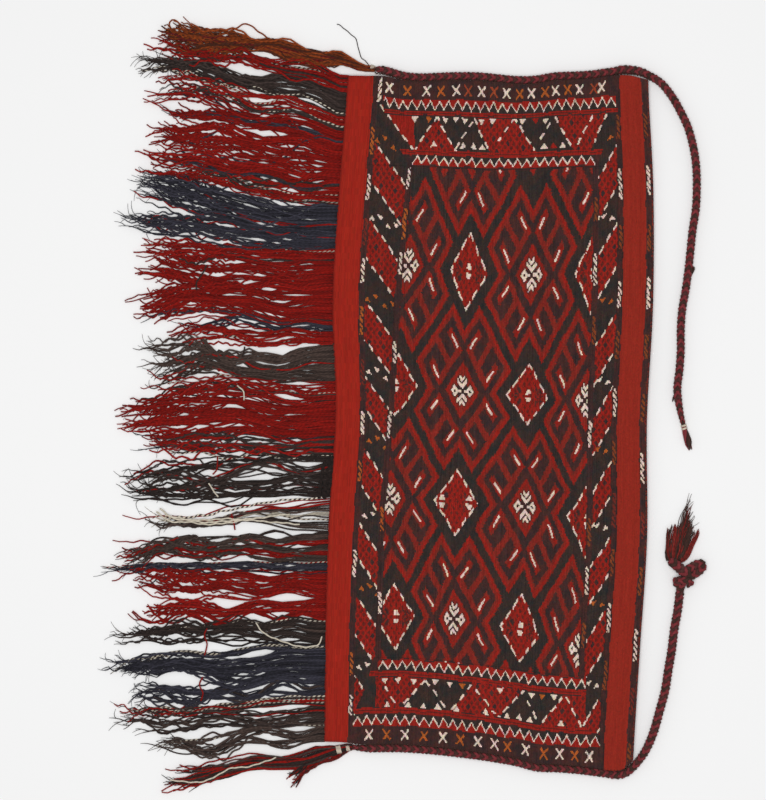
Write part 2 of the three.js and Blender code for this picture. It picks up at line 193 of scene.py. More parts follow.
def dye(red, green, blue):
    """A screen colour of 0 to 255 as the linear colour that shaders use."""
    share = np.array([red, green, blue]) / 255
    return np.where(share <= 0.04045, share / 12.92, ((share + 0.055) / 1.055) ** 2.4)


def smooth(values, share):
    """Values at even steps, joined by one smooth curve and read at shares from 0 to 1."""
    values = np.asarray(values, float)
    last = len(values) - 1
    place = np.clip(share, 0, 1) * last
    i = np.clip(np.floor(place).astype(int), 0, last - 1)
    w = place - i
    if values.ndim > 1:
        w = w[..., None]
    before, a, b, after = (values[np.clip(i + k, 0, last)] for k in (-1, 0, 1, 2))
    rise_a, rise_b = (b - before) / 2, (after - a) / 2
    return ((2 * a - 2 * b + rise_a + rise_b) * w ** 3
            + (3 * b - 3 * a - 2 * rise_a - rise_b) * w ** 2 + rise_a * w + a)


def evenly(route, step):
    """A smooth route through points, at a braid's height unless they have their own, in even steps."""
    route = np.array([(*point, braid_height)[:3] for point in route])
    fine = smooth(route, np.linspace(0, 1, 60 * len(route)))
    run = np.concatenate([[0], np.cumsum(np.linalg.norm(np.diff(fine, axis=0), axis=1))])
    even = np.linspace(0, run[-1], max(4, round(run[-1] / step)))
    return np.stack([np.interp(even, run, fine[:, k]) for k in range(3)], axis=1)


def unit(vectors):
    """Vectors of length one."""
    return vectors / np.linalg.norm(vectors, axis=-1, keepdims=True)


def tubes(paths, radii, sides):
    """Closed tubes along a stack of paths: points, faces, and (round, along) at each face corner."""
    count, rings, _ = paths.shape
    ahead = unit(np.gradient(paths, axis=1))
    beside = unit(np.cross((0, 0, 1), ahead))
    above = np.cross(ahead, beside)
    angle = 2 * np.pi * np.arange(sides)[:, None] / sides
    spoke = np.cos(angle) * beside[:, :, None] + np.sin(angle) * above[:, :, None]
    points = paths[:, :, None] + radii[:, :, None, None] * spoke
    index = np.arange(count * rings * sides).reshape(count, rings, sides)
    after = np.roll(index, -1, axis=2)
    wall = np.stack([index[:, :-1], after[:, :-1], after[:, 1:], index[:, 1:]], axis=-1)
    low = np.arange(sides // 2 - 1)
    lid = np.stack([low, low + 1, sides - 2 - low, sides - 1 - low], axis=-1)
    lids = np.concatenate([index[:, 0][:, lid[:, ::-1]], index[:, -1][:, lid]], axis=1)

    steps = np.linalg.norm(np.diff(paths, axis=1), axis=2)
    along = np.concatenate([np.zeros((count, 1)), np.cumsum(steps, axis=1)], axis=1)
    turn = np.arange(sides) / sides
    corner = np.zeros((count, rings - 1, sides, 4, 2))
    for k, (next_side, next_ring) in enumerate(((0, 0), (1, 0), (1, 1), (0, 1))):
        corner[..., k, 0] = turn + next_side / sides
        corner[..., k, 1] = along[:, next_ring:rings - 1 + next_ring, None]
    ends = np.repeat(np.stack([along[:, 0], along[:, -1]], axis=1), len(low), axis=1)
    lid_corner = np.stack(np.broadcast_arrays(0.5, ends[..., None, None]), axis=-1)
    lid_corner = np.repeat(lid_corner[..., 0, :, :], 4, axis=2).reshape(count, -1, 4, 2)
    quads = np.concatenate([wall.reshape(count, -1, 4), lids], axis=1)
    corners = np.concatenate([corner.reshape(count, -1, 4, 2), lid_corner], axis=1)
    return points.reshape(-1, 3), quads, corners


def make_piece(name, points, quads, material, dyes, plies=None, maps=None, rounded=None):
    """A piece from points, four-cornered faces, their dyes, maps of corners, and how many are rounded."""
    mesh = bpy.data.meshes.new(name)
    mesh.from_pydata((points * mm).tolist(), [], quads.tolist())
    mesh.polygons.foreach_set("use_smooth", np.arange(len(quads)) < (rounded or len(quads)))
    for label, colours in (("dye", dyes), ("ply", dyes if plies is None else plies)):
        layer = mesh.attributes.new(label, "FLOAT_COLOR", "CORNER")
        painted = np.ones((len(quads), 4, 4), np.float32)
        painted[..., :3] = colours[:, None]
        layer.data.foreach_set("color", painted.ravel())
    for label, corners in (maps or {}).items():
        mesh.uv_layers.new(name=label).data.foreach_set("uv", corners.astype(np.float32).ravel())
    mesh.materials.append(material)
    piece = bpy.data.objects.new(name, mesh)
    scene.collection.objects.link(piece)
    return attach(piece, "root")


def yarn_piece(name, bundles, material):
    """A piece of many yarns, from bundles of (paths, radii, dyes, second ply's colours, sides); the second
    ply's colours are darkened as painted shade of the twist.
    """
    points, quads, corners, dyes, plies, lanes = [], [], [], [], [], []
    points_done = 0
    yarns_done = 0
    for paths, radii, colours, seconds, sides in bundles:
        tube_points, tube_quads, tube_corners = tubes(paths, radii, sides)
        count, faces, _ = tube_quads.shape
        points.append(tube_points)
        quads.append((tube_quads + points_done).reshape(-1, 4))
        corners.append(tube_corners.reshape(-1, 4, 2))
        dyes.append(np.repeat(colours, faces, axis=0))
        plies.append(np.repeat(seconds, faces, axis=0))
        lanes.append(np.repeat(yarns_done + np.arange(count), faces))
        points_done += len(tube_points)
        yarns_done += count
    corners, lanes = np.concatenate(corners), np.concatenate(lanes)
    strips = corners / (1, corners[..., 1].max())
    strips[..., 0] = (lanes[:, None] + 0.1 + 0.8 * strips[..., 0]) / yarns_done
    corners[..., 0] += (0.618 * lanes % 1)[:, None]
    return make_piece(name, np.concatenate(points), np.concatenate(quads), material,
                      np.concatenate(dyes), np.concatenate(plies),
                      {"OFBake": strips, "twist": corners})


def one_yarn(path, radius, first, second):
    """A bundle of one yarn, from its path, its radius and the colours of its two plies, the second one
    darker as painted shade of the twist.
    """
    return path[None], np.full((1, len(path)), radius), first[None], second[None], 6


def finish_wool(blank, colour, tone, relief, shine):
    """End a wool material: its dye under a tone that is uneven and, in some wools, holds painted shade, its
    relief and its faint shine.
    """
    shade = blank.node("CombineColor", {}, {0: tone, 1: tone, 2: tone})
    surface = blank.node("BsdfPrincipled", {}, {
        "Base Color": colour.mixed(shade, 1.0, "MULTIPLY"), "Roughness": 0.95,
        "Normal": blank.node("Bump", {}, relief), **shine})
    blank.node("OutputMaterial", {}, {"Surface": surface})


def twisted_wool(name, turn, relief, unevenness):
    """Two-ply wool: the colours of both plies in turn along the twist, the second darker as painted shade,
    uneven along the yarn, with the plies and fibres in relief.
    """
    material, blank = empty_material(name)
    first = blank.node("Attribute", {"attribute_name": "dye"}, out="Color")
    second = blank.node("Attribute", {"attribute_name": "ply"}, out="Color")
    twist = blank.node("SeparateXYZ", {}, {0: blank.node("UVMap", {"uv_map": "twist"})})
    phase = (twist + twist.out("Y") / turn) * (2 * np.pi)
    wave = phase.sine()
    place = blank.node("NewGeometry", out="Position")
    cloud = blank.node("TexNoise", {}, {"Vector": place, "Scale": 55.0, "Detail": 3.0})
    fibre = blank.node("TexNoise", {}, {"Vector": place, "Scale": 900.0, "Detail": 2.0})
    colour = first.mixed(second, (wave * 4 + 0.5).clamped())
    tone = 1 - unevenness + 2 * unevenness * (0.65 * cloud + 0.35 * fibre)
    ply_height = abs((phase * 0.5).sine()) + 0.6 * fibre
    finish_wool(blank, colour, tone,
                {"Strength": relief, "Distance": 0.4 * mm, "Height": ply_height},
                {"Specular IOR Level": 0.1, "Sheen Weight": 0.03, "Sheen Roughness": 0.6})
    return material


def braid_strands(route, joint=0.0, roll=0.0, slim_start=0.0, slim_end=0.0):
    """A round braid's middle line, eight strands and girth. Its working is counted from a joint along the
    route, and away from there the braid may be rolled. Either end may be slimmer over some length."""
    middle = evenly(route, ring_step)
    ahead = unit(np.gradient(middle, axis=0))
    beside = unit(np.cross((0, 0, 1), ahead))
    above = np.cross(ahead, beside)
    steps = np.linalg.norm(np.diff(middle, axis=0), axis=1)
    run = np.concatenate([[0], np.cumsum(steps)])
    girth = np.ones(len(run))
    for slim, away in ((slim_start, run), (slim_end, run[-1] - run)):
        girth -= slim_loss * np.clip((slim - away) / max(slim, ring_step), 0, 1)
    middle[:, 2] -= 0.6 * braid_height * (1 - girth)
    from_joint = run - joint * run[-1]
    turn = 2 * np.pi * from_joint / braid_pitch
    rolled = roll * np.clip(abs(from_joint) / roll_length, 0, 1)
    strands = []
    for strand in range(strand_count):
        way = 1 if strand < strand_count / 2 else -1
        angle = way * turn + strand * np.pi / 2
        orbit = strand_orbit - way * strand_weave * np.sin(2 * angle)
        angle = angle + rolled
        strands.append(middle + (girth * orbit)[:, None] * (
            np.cos(angle)[:, None] * beside + np.sin(angle)[:, None] * above))
    return middle, np.array(strands), girth


braid_wool = twisted_wool("braid_wool", turn=9.0, relief=0.7, unevenness=0.35)
braid_red, braid_maroon, braid_dark = dye(126, 51, 55), dye(82, 49, 46), dye(68, 46, 40)
braid_dyes = np.array([
    braid_red, braid_dark, braid_red, braid_maroon, braid_red, braid_dark, braid_red, braid_maroon])


def braid_bundle(strands, girth):
    """A braid's strands as a bundle of yarns."""
    radii = np.tile(strand_radius * girth, (len(strands), 1))
    # The second ply is the braid's dye darkened: painted shade of the twist.
    return strands, radii, braid_dyes, braid_dyes * 0.8, 6


upper_line, *upper_strands = braid_strands(upper_tie_route, slim_end=42)
upper_bundles = [braid_bundle(*upper_strands)]
for wisp in tie_wisps:
    for aside in (-0.7, 0, 0.7):
        path = evenly(np.array(wisp) + (aside, 2.2 * aside, aside), ring_step)
        # Each wisp's second ply is its dye darkened: painted shade of the twist.
        upper_bundles.append(one_yarn(path, np.linspace(1.5, 0.7, len(path)), braid_dark, braid_dark * 0.8))
upper_tie = yarn_piece("upper_tie", upper_bundles, braid_wool)
lower_line, *lower_strands = braid_strands(lower_tie_route, roll=-np.pi / 4)
lower_tie = yarn_piece("lower_tie", [braid_bundle(*lower_strands)], braid_wool)
for tie, node in ((upper_tie, "tie_cord_upper"), (lower_tie, "tie_cord_lower")):
    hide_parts(node)


# Ends of the ties
# The upper tie is whipped with white thread and frays into a small brush. The lower one is stopped
# by an overhand knot, and its cut strands hang out of the knot as a short tassel.
whipping_length = 2.3
whipping_radius = 4.3
whipping_places = (0.3, 4.6)
binding_thread = 0.9
knot_bight = [
    (276, -249.6, 6.6), (277, -243, 7.5), (282, -235, 9), (292, -229, 8), (302.5, -223, 6.8),
    (308.5, -215.5, 6.6), (305, -211, 6.6), (296, -214.5, 7), (284, -221.5, 9)]
knot_tail = [(287, -230, 11), (277, -219.5, 12), (262.5, -207, 8)]
knot_turn = [
    (275, -243, 5), (270.5, -239, 8), (271.5, -235, 13), (280, -235.5, 16), (288, -236.5, 14),
    (290, -239, 9), (286, -241, 6.6)]
brush_thread = 1.0
brush_tip = np.array((291, -47, 2.4))
brush_count = 34
white_wool = dye(214, 200, 182)


def winding(start, ahead, length, radius, tightness):
    """A thread wound round a bundle: one path with many turns."""
    turns = length / (tightness * binding_thread)
    share = np.linspace(0, 1, int(14 * turns) + 1)
    ahead = np.append(unit(np.array(ahead[:2], float)), 0)
    beside = np.array([-ahead[1], ahead[0], 0])
    angle = 2 * np.pi * turns * share
    reach = radius - binding_thread + 0.25 * np.sin(7.3 * angle)
    return (np.array(start) + np.outer(share * length, ahead)
            + np.outer(reach * np.cos(angle), beside) + np.outer(reach * np.sin(angle), (0, 0, 1)))


def threads(rng, root, ahead, tips, count, spread, wave):
    """Loose threads from one root to points near some tips, lying down onto the table."""
    share = np.linspace(0, 1, 26)
    tips = np.array(tips, float)
    paths = []
    for _ in range(count):
        tip = tips[rng.integers(len(tips))] + rng.normal(0, spread, 2)
        first = np.array(root[:2]) + rng.normal(0, 1.6, 2)
        length = np.linalg.norm(tip - first)
        lead = first + np.array(ahead[:2]) * length * 0.35
        curve = (np.outer((1 - share) ** 2, first) + np.outer(2 * share * (1 - share), lead)
                 + np.outer(share ** 2, tip))
        across = np.array([-(tip - first)[1], (tip - first)[0]]) / length
        sway = sum(rng.normal(0, wave / k) * np.sin(2 * np.pi * (k * share * length / 110 + rng.random()))
                   for k in (1, 2, 3))
        curve += np.outer(sway * np.minimum(1, 4 * share), across)
        height = root[2] + rng.normal(0, 1.5)
        floor = 1.2 + rng.random() * 3.2
        z = floor + (height - floor) * np.exp(-share * length / 40)
        paths.append(np.column_stack([curve, np.maximum(z, 1.0)]))
    return np.array(paths)


def tapered(rng, paths, radius):
    """Radii along some threads, uneven from one to the next and thin at the tips."""
    share = np.linspace(0, 1, paths.shape[1])
    girth = radius * rng.uniform(0.75, 1.2, len(paths))[:, None]
    return girth * (1 - 0.65 * np.clip((share - 0.75) / 0.25, 0, 1))


tie_rng = np.random.default_rng(11)
loose_wool = twisted_wool("loose_wool", turn=7.0, relief=0.6, unevenness=0.3)
upper_tip, upper_ahead = upper_line[-1], unit(upper_line[-1] - upper_line[-3])
whipping_bundles = []
for distance in whipping_places:
    start = upper_tip + distance * upper_ahead
    path = winding(start, upper_ahead, whipping_length, whipping_radius, tightness=1.3)
    # The white thread's second ply is darkened: painted shade of the twist.
    whipping_bundles.append(one_yarn(path, binding_thread, white_wool, white_wool * 0.8))
tie_whipping = yarn_piece("tie_whipping", whipping_bundles, loose_wool)
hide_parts("tie_whipping_upper")

brush_root = upper_tip + 0.6 * upper_ahead
brush_reach = np.linspace(0, 1, 14) * tie_rng.uniform(0.8, 1.05, (brush_count, 1))
brush_bulge = smooth((2.8, 3.6, 4.6, 4.8, 3.2), brush_reach) * np.sqrt(tie_rng.random((brush_count, 1)))
brush_start = tie_rng.uniform(0, 2 * np.pi, (brush_count, 1))
brush_angle = brush_start + 3.4 * brush_reach
brush_side = unit(np.cross((0, 0, 1), upper_ahead))
brush_paths = brush_root + brush_reach[..., None] * (brush_tip - brush_root)
brush_paths = brush_paths + (brush_bulge * np.cos(brush_angle))[..., None] * brush_side
brush_paths[..., 2] = np.maximum(1.0, brush_paths[..., 2] + brush_bulge * np.sin(brush_angle))
brush_dyes = np.where(np.sin(brush_start) > 0.3, braid_red, braid_dark)
tie_brush = yarn_piece("tie_brush", [
    (brush_paths, tapered(tie_rng, brush_paths, brush_thread), brush_dyes, brush_dyes, 6)], loose_wool)
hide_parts("tie_tuft_upper")

knot_bundles = []
for route, loosened in ((knot_bight, 1.1), (knot_turn, 1.0), (knot_tail, 1.3)):
    middle, strands, girth = braid_strands(route)
    knot_bundles.append(braid_bundle(middle + loosened * (strands - middle), loosened * girth))
tie_knot = yarn_piece("tie_knot", knot_bundles, braid_wool)
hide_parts("tie_knot_lower")

# A strand of the tassel: its root, its lead, its tips, its number of yarns, their spread and wave,
# their girth and the share of them that is red.
tassel_strands = [
    ((278, -206), (0.75, 0.6), [(302, -167)], 20, 1.6, 0.8, 1.1, 1.0),
    ((266, -206), (-0.2, 1.0), [(268, -156), (272, -160)], 16, 1.4, 0.8, 1.1, 0.9),
    ((261, -206), (-0.4, 0.9), [(262, -160), (266, -168)], 22, 3.0, 1.2, 1.0, 0.35),
    ((270, -206), (-0.1, 1.0), [(282, -152), (274, -162), (288, -158)], 52, 3.6, 1.6, 1.0, 0.28),
    ((276, -206), (0.5, 0.9), [(289, -152), (294, -163), (285, -170)], 40, 3.0, 1.6, 1.0, 0.25),
    ((272, -206), (0.1, 1.0), [(286, -141), (289, -134)], 12, 2.4, 1.8, 0.9, 0.15),
    ((272, -206), (0.0, 1.0), [(291, -110), (294, -124), (286, -130), (298, -146)], 15, 2.6, 4.0, 0.6, 0.1)]
tassel_red = dye(126, 40, 35)
tassel_height = 7.5
tassel_bundles = []
for root, lead, tips, count, spread, wave, girth, red_share in tassel_strands:
    paths = threads(tie_rng, (*root, tassel_height), lead, tips, count, spread, wave)
    tints = np.where(tie_rng.random((count, 1)) < red_share, tassel_red, braid_dark)
    tints = tints * tie_rng.uniform(0.7, 1.3, (count, 1))
    # Each tassel yarn's second ply is its dye darkened: painted shade of the twist.
    tassel_bundles.append((paths, tapered(tie_rng, paths, girth), tints, tints * 0.75, 6))
tie_tassel = yarn_piece("tie_tassel", tassel_bundles, loose_wool)
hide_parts("tie_tassel_lower")

for tie, line, end, parts in (
        (upper_tie, upper_line, "bare", [tie_whipping, tie_brush]),
        (lower_tie, lower_line, "knot", [tie_knot, tie_tassel])):
    line[0] * mm
    line * mm


# Ground cloth
# One strip of red wool weave is folded double at the fringe and joined along both short sides, so
# it makes a flat pocket. Its edges are a little bowed, as the hand-woven strip pulled in unevenly.
cloth_depth = 438.0
cloth_width = 977.5
cloth_top = 12.0
back_thickness = 3.0
pocket_top = 9.0
fold_thickness = 7.0
side_seam = 9.0
slack = 0.5
weft_pitch = 1.3
warp_pitch = 1.9
cloth_red = dye(146, 38, 28)
mouth_dark = dye(74, 40, 36)
# The outline on the table: where the fold lies and how it leans, the depth at the upper side, the
# width at the fold, what both gain farther on, and how far the edges are bowed at even steps.
fold_x, fold_lean = -219, 34
upper_depth, depth_gain = 432, 12
fold_width, width_gain = 960, 35
side_lean = 14
fold_bow, mouth_bow = [0, -7, -11, -1, -5, -4, 0], [0, 11, 14, 9, 13, 6, 0]
upper_bow, lower_bow = [0, -4, -9, -3, 0], [0, 10, 7, -3, 0]
upper_edge = [3, 3, 3, -2, -2.5, 0, 2.2, 2.9, 0.5, -3, -4.4, -2, -2.5, -2.2, 0.6, 0.3, -7]
lower_edge = [6, 5, 1] + [0] * 8 + [-2.5, 0, 0, -2.2, -5.5, -1.5]


def on_cloth(s, t):
    """The place on the table of a point of the cloth."""
    u, v = s / cloth_depth, t / cloth_width
    fold = fold_lean * (0.5 - v) + fold_x
    x = fold + (upper_depth + depth_gain * v) * u
    x = x + smooth(fold_bow, v) * (1 - u) + smooth(mouth_bow, v) * u
    y = side_lean * (0.5 - u) + (fold_width + width_gain * u) * (0.5 - v)
    y = y + smooth(upper_bow, u) * (1 - v) + smooth(lower_bow, u) * v
    y = y + smooth(upper_edge, u) * np.exp(-t / 45)
    drawn_in = 12 * np.maximum(0, (u - 0.955) / 0.045) ** 2
    y = y + (smooth(lower_edge, u) + drawn_in) * np.exp((t - cloth_width) / 25)
    return x, y


def ripple(s, t):
    """How far the slack cloth lifts or sinks."""
    broad = np.sin(s / 47 + t / 83) + 0.6 * np.sin(t / 39 - s / 71)
    return slack * (broad + 0.4 * np.sin(t / 17 + s / 29))


nose = np.linspace(-np.pi / 2, np.pi / 2, 10)
flat_s = np.linspace(cloth_depth, cloth_top / 2, 26)[:-1]
inner_s = np.linspace(cloth_depth, fold_thickness + 3, 26)[:-1]


def folded_line(flat, low, high, start):
    """A line in s and height: along the back, round the fold and back along the front."""
    radius = (high - low) / 2
    bend_s = start + radius * (1 - np.cos(nose))
    bend_z = (low + high) / 2 + radius * np.sin(nose)
    return (np.concatenate([flat, bend_s, flat[::-1]]),
            np.concatenate([np.full(len(flat), low), bend_z, np.full(len(flat), high)]))


across = np.concatenate([[0], np.linspace(side_seam, cloth_width - side_seam, 60), [cloth_width]])
outer_s, outer_z = folded_line(flat_s, 0.0, cloth_top, 0.0)
pocket_s, pocket_z = folded_line(inner_s, back_thickness, pocket_top, fold_thickness)


def swept(line_s, line_z, stations):
    """The points of a folded line carried across the cloth."""
    s, t = np.meshgrid(line_s, stations, indexing="ij")
    x, y = on_cloth(s, t)
    above = np.clip(np.broadcast_to(line_z[:, None], s.shape) / cloth_top, 0, 1)
    return np.stack([x, y, line_z[:, None] + ripple(s, t) * above ** 2], axis=-1)


def faces_between(a, b):
    """Faces between two rows of points."""
    return np.stack([a[:-1], a[1:], b[1:], b[:-1]], axis=-1)


outer = swept(outer_s, outer_z, across)
pocket = swept(pocket_s, pocket_z, across[1:-1])
skin = np.arange(outer[..., 0].size).reshape(outer.shape[:2])
lining = skin.size + np.arange(pocket[..., 0].size).reshape(pocket.shape[:2])
walls = [faces_between(skin[i], skin[i + 1])[:, ::-1] for i in range(len(skin) - 1)]
walls += [faces_between(lining[i], lining[i + 1]) for i in range(len(lining) - 1)]
for layer, first, last in ((skin, -1, 1), (lining, 1, -1)):
    half = len(layer) // 2
    walls += [faces_between(layer[:half, 0], layer[::-1][:half, 0])[:, ::first],
              faces_between(layer[:half, -1], layer[::-1][:half, -1])[:, ::last]]
walls += [faces_between(skin[0, 1:-1], lining[0]), faces_between(skin[-1, 1:-1], lining[-1])[:, ::-1]]
walls += [np.array([
    [skin[0, 0], skin[0, 1], lining[0, 0], lining[-1, 0]],
    [skin[0, 0], lining[-1, 0], skin[-1, 1], skin[-1, 0]],
    [skin[0, -1], lining[-1, -1], lining[0, -1], skin[0, -2]],
    [skin[0, -1], skin[-1, -1], skin[-1, -2], lining[-1, -1]]])]
cloth_quads = np.concatenate(walls)[:, ::-1]

ground_wool, blank = empty_material("ground_wool")
place = blank.node("NewGeometry", out="Position")
spot = blank.node("SeparateXYZ", {}, {0: place})
weft = (spot * (2 * np.pi / (weft_pitch * mm))).sine()
warp = (spot.out("Y") * (2 * np.pi / (warp_pitch * mm))).sine()
streak = blank.node("TexNoise", {}, {
    "Vector": blank.node("VectorMath", {"operation": "MULTIPLY"}, {0: place, 1: (420, 14, 60)}),
    "Scale": 1.0, "Detail": 4.0})
colour = blank.node("Attribute", {"attribute_name": "dye"}, out="Color")
# The streaks are uneven wool. The small weft term darkens the tone where the weave's relief dips: painted
# shade in its grooves.
finish_wool(blank, colour, 0.72 + 0.5 * streak + 0.06 * weft,
            {"Strength": 0.5, "Distance": 0.3 * mm, "Height": weft + 0.5 * warp},
            {"Specular IOR Level": 0.15})

cloth_dyes = np.tile(cloth_red, (len(cloth_quads), 1))
mouth_rim = 2 * (len(across) - 3) + 4
cloth_dyes[-mouth_rim:] = mouth_dark
ground_cloth = make_piece(
    "ground_cloth", np.concatenate([outer.reshape(-1, 3), pocket.reshape(-1, 3)]), cloth_quads,
    ground_wool, cloth_dyes)
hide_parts("bag_cloth")


# Woven face
# The front is weft-faced weave with wrapped brocade: every stitch is one short float of dyed wool.
# The weaver laid the pattern out by counting, and it drifts with the pull of the cloth.
columns = 337
rows = 515
field_top, field_foot = 128, 852
whole_from = 172
guard_half = 4
inner_mouth_guard, outer_mouth_guard, mouth_strip = 358, 392, 431.5
edge_s = np.linspace(0, cloth_depth, columns + 1)
edge_t = np.linspace(0, cloth_width, rows + 1)
true_s, true_t = np.meshgrid((edge_s[1:] + edge_s[:-1]) / 2, (edge_t[1:] + edge_t[:-1]) / 2)
s = true_s + 0.5 * np.sin(true_t / 9.7 + 1.2 * np.sin(true_s / 21))
s = s + 0.4 * np.sin(true_t / 4.1 + true_s / 13)
t = true_t + 0.6 * np.sin(true_s / 8.3 + 1.1 * np.sin(true_t / 27))
t = t + 0.5 * np.sin(true_s / 3.7 + true_t / 31)
# A yarn of the face: its dye, and how far its stitches stand proud of the ground weave.
yarns = {
    "fold red": (dye(157, 37, 25), 0.0),
    "mouth red": (dye(147, 42, 30), 0.0),
    "red": (dye(144, 33, 25), 0.25),
    "madder": (dye(128, 39, 31), 0.2),
    "dull red": (dye(116, 45, 36), 0.2),
    "deep red": (dye(98, 35, 29), 0.15),
    "aubergine": (dye(64, 41, 39), 0.0),
    "blue-black": (dye(53, 43, 40), 0.05),
    "white": (dye(226, 203, 187), 0.5),
    "orange": (dye(172, 88, 38), 0.4),
    "rust": (dye(128, 64, 34), 0.4),
    "brick": (dye(150, 66, 40), 0.4)}
yarn_dyes, yarn_heights = (np.array(column) for column in zip(*yarns.values()))
yarn_names = list(yarns)
chart = np.zeros(s.shape, int)


def work(where, yarn):
    """Work some stitches of the face in one yarn."""
    chart[where] = yarn_names.index(yarn)


def drift(*stations):
    """A line that drifts in s as t runs on, from (t, s) stations."""
    return np.interp(t, *zip(*stations))


def worked(*names):
    """The stitches that are in some yarns so far."""
    return np.isin(chart, [yarn_names.index(name) for name in names])


def band(low, value, high):
    """Where a value lies between two limits."""
    return (value >= low) & (value < high)


def stroke(start, end, width):
    """Stitches along a straight line between two points of the cloth."""
    (start_s, start_t), (end_s, end_t) = start, end
    run_s, run_t = end_s - start_s, end_t - start_t
    share = ((s - start_s) * run_s + (t - start_t) * run_t) / (run_s ** 2 + run_t ** 2)
    share = np.clip(share, 0, 1)
    return np.hypot(s - start_s - share * run_s, t - start_t - share * run_t) <= width / 2


def between(left, right):
    """Stitches between two slanting lines, each through two points of the cloth."""
    def at(line):
        (a_s, a_t), (b_s, b_t) = line
        return a_s + (t - a_t) * (b_s - a_s) / (b_t - a_t)
    return (s >= at(left)) & (s < at(right))


def dashes(along, length, gap):
    """Where a broken line has its dashes."""
    return (along % (length + gap)) < length


def beside_any(where):
    """Stitches that lie next to some others."""
    return sum(np.roll(where, step, axis) for step in (1, -1) for axis in (0, 1)) > 0


# The field's hooked medallions stand on the slopes of a lattice, flowers and diamonds in turn.
medallions = np.array([
    [(103, 273), (185, 278), (271, 281), (356, 278)],
    [(85, 450), (178, 454), (271, 455), (350, 460)],
    [(82, 616), (173, 616), (270, 614), (355, 630)],
    [(98, 790), (178, 788), (271, 791), (353, 815)]], float)
pitch_s, pitch_t = 91, 171
first_s, first_t = 92, 277
medallions = np.concatenate([
    medallions[:, :1] - (pitch_s, 0), medallions, medallions[:, -1:] + (pitch_s, 0)], axis=1)
medallions = np.concatenate([medallions[:1] - (0, 182), medallions, medallions[-1:] + (0, pitch_t)])
lattice_size = len(medallions)


def lattice_point(column, row):
    """Where a column and row of the lattice have drifted to on the cloth."""
    i, j = (np.clip(np.floor(v).astype(int) + 1, 0, lattice_size - 2) for v in (column, row))
    right, below = (column + 1 - i)[..., None], (row + 1 - j)[..., None]
    high = medallions[j, i] * (1 - right) + medallions[j, i + 1] * right
    low = medallions[j + 1, i] * (1 - right) + medallions[j + 1, i + 1] * right
    return high * (1 - below) + low * below


column, row = (s - first_s) / pitch_s, (t - first_t) / pitch_t
for _ in range(8):
    here = lattice_point(column, row)
    column = column + (s - here[..., 0]) / pitch_s
    row = row + (t - here[..., 1]) / pitch_t
nearest_column, nearest_row = np.round(column).astype(int), np.round(row).astype(int)
rising = (10 * (column + row) + 10) % 20 - 10
falling = (10 * (column - row) + 10) % 20 - 10
far = np.maximum(abs(rising), abs(falling))
near = np.minimum(abs(rising), abs(falling))

inner_guard = drift(
    (0, 100), (135, 97), (270, 92), (400, 85), (507, 76.5), (650, 73), (770, 75), (978, 72))
field_end = drift((0, 355), (978, 363))
field = band(inner_guard + guard_half, s, field_end) & band(field_top, t, field_foot)
work(field, "blue-black")
for arm, yarn in ((5.15, "red"), (4.65, "madder"), (4.15, "aubergine")):
    work(field & (near <= arm) & (far <= arm + 4.2), yarn)
hook = band(3.75, far, 4.7) & (near <= 3.2)
hook |= (near <= 0.48) & band(4.6, far, 8.5)
hook |= band(2.1, near, 3.2) & band(3.75, far, 7.4)
work(field & hook, "madder")
work(field & hook & (near > 2.55), "red")
work(field & (abs(near - 2.65) < 0.16) & band(4.6, far, 6.5), "white")
work(field & (far <= 2.55), "red")
work(field & (far <= 2.1), "madder")

# A flower: a dotted petal at each side, and a chevron and a heart above and below its dark eye.
flower = field & (far <= 2.2)
flower_s = abs(rising + falling) / 20 * pitch_s
flower_t = abs(rising - falling) / 20 * pitch_t
petal = abs(flower_s - 10.4) / 5.3 + flower_t / 9.6 < 1
petal |= (flower_t < 2.2) & band(2.4, flower_s, 8)
petal |= (abs(flower_t - 6.4 - 1.35 * flower_s) < 3.2) & (flower_s < 6.8)
petal |= (abs(flower_t - 15.8 - 1.5 * flower_s) < 2.9) & (flower_s < 3.8)
petal &= flower
eye = ((flower_s < 2.4) & (flower_t < 2.8)) | (abs(flower_s - 10.4) / 2.0 + flower_t / 3.0 < 1)
work(flower & ((far < 1.2) | beside_any(petal)), "aubergine")
work(petal, "white")
work(flower & eye, "aubergine")

# Each diamond between the flowers has a dashed white edge, a hatched ground and two small wedges.
diamond_row = np.clip(nearest_row, 0, 3)
diamond_width = np.array([1.0, 1.1, 1.05, 1.04])[diamond_row]
diamond_length = np.array([1.06, 0.88, 0.96, 0.94])[diamond_row]
beside_s = abs(10 * (column - nearest_column)) / diamond_width
beside_t = abs(10 * (row - nearest_row)) / diamond_length
edge_far = np.where((nearest_column + nearest_row) % 2 == 1, beside_s + beside_t, 9)
whole = field & (t > whole_from)
work(whole & (edge_far <= 3.1), "red")
hatch = dashes(rising, 0.42, 0.4) & dashes(falling, 0.42, 0.4)
work(whole & (edge_far <= 2.7) & hatch, "deep red")
side_hatch = (edge_far <= 2.5) & (beside_s > 1.1) & band(0.1, beside_t, 0.8)
work(whole & side_hatch & dashes(rising, 0.8, 0.3) & dashes(falling, 0.8, 0.3), "aubergine")
work(whole & band(2.82, edge_far, 3.1) & dashes(rising + falling + 0.4, 1.5, 0.75), "white")
split = (nearest_column == 1) & (nearest_row == 2)
wedge_s = np.where(split, abs(beside_s - 1.9), beside_s)
wedge = band(0.15, beside_t, 0.6) & (wedge_s < 0.54 - 0.55 * beside_t)
work(whole & (edge_far < 2.8) & wedge, "white")
work(field & (t <= whole_from) & band(1.2, edge_far, 2.0), "red")

# Where red meets dark, stitches of both yarns mix along the edge.
ragged = np.random.default_rng(17).random(chart.shape)
is_red = worked("red", "madder")
is_dark = worked("aubergine", "blue-black")
work(field & is_red & beside_any(is_dark) & (ragged < 0.55), "dull red")
work(field & is_dark & beside_any(is_red) & (ragged > 0.6), "deep red")

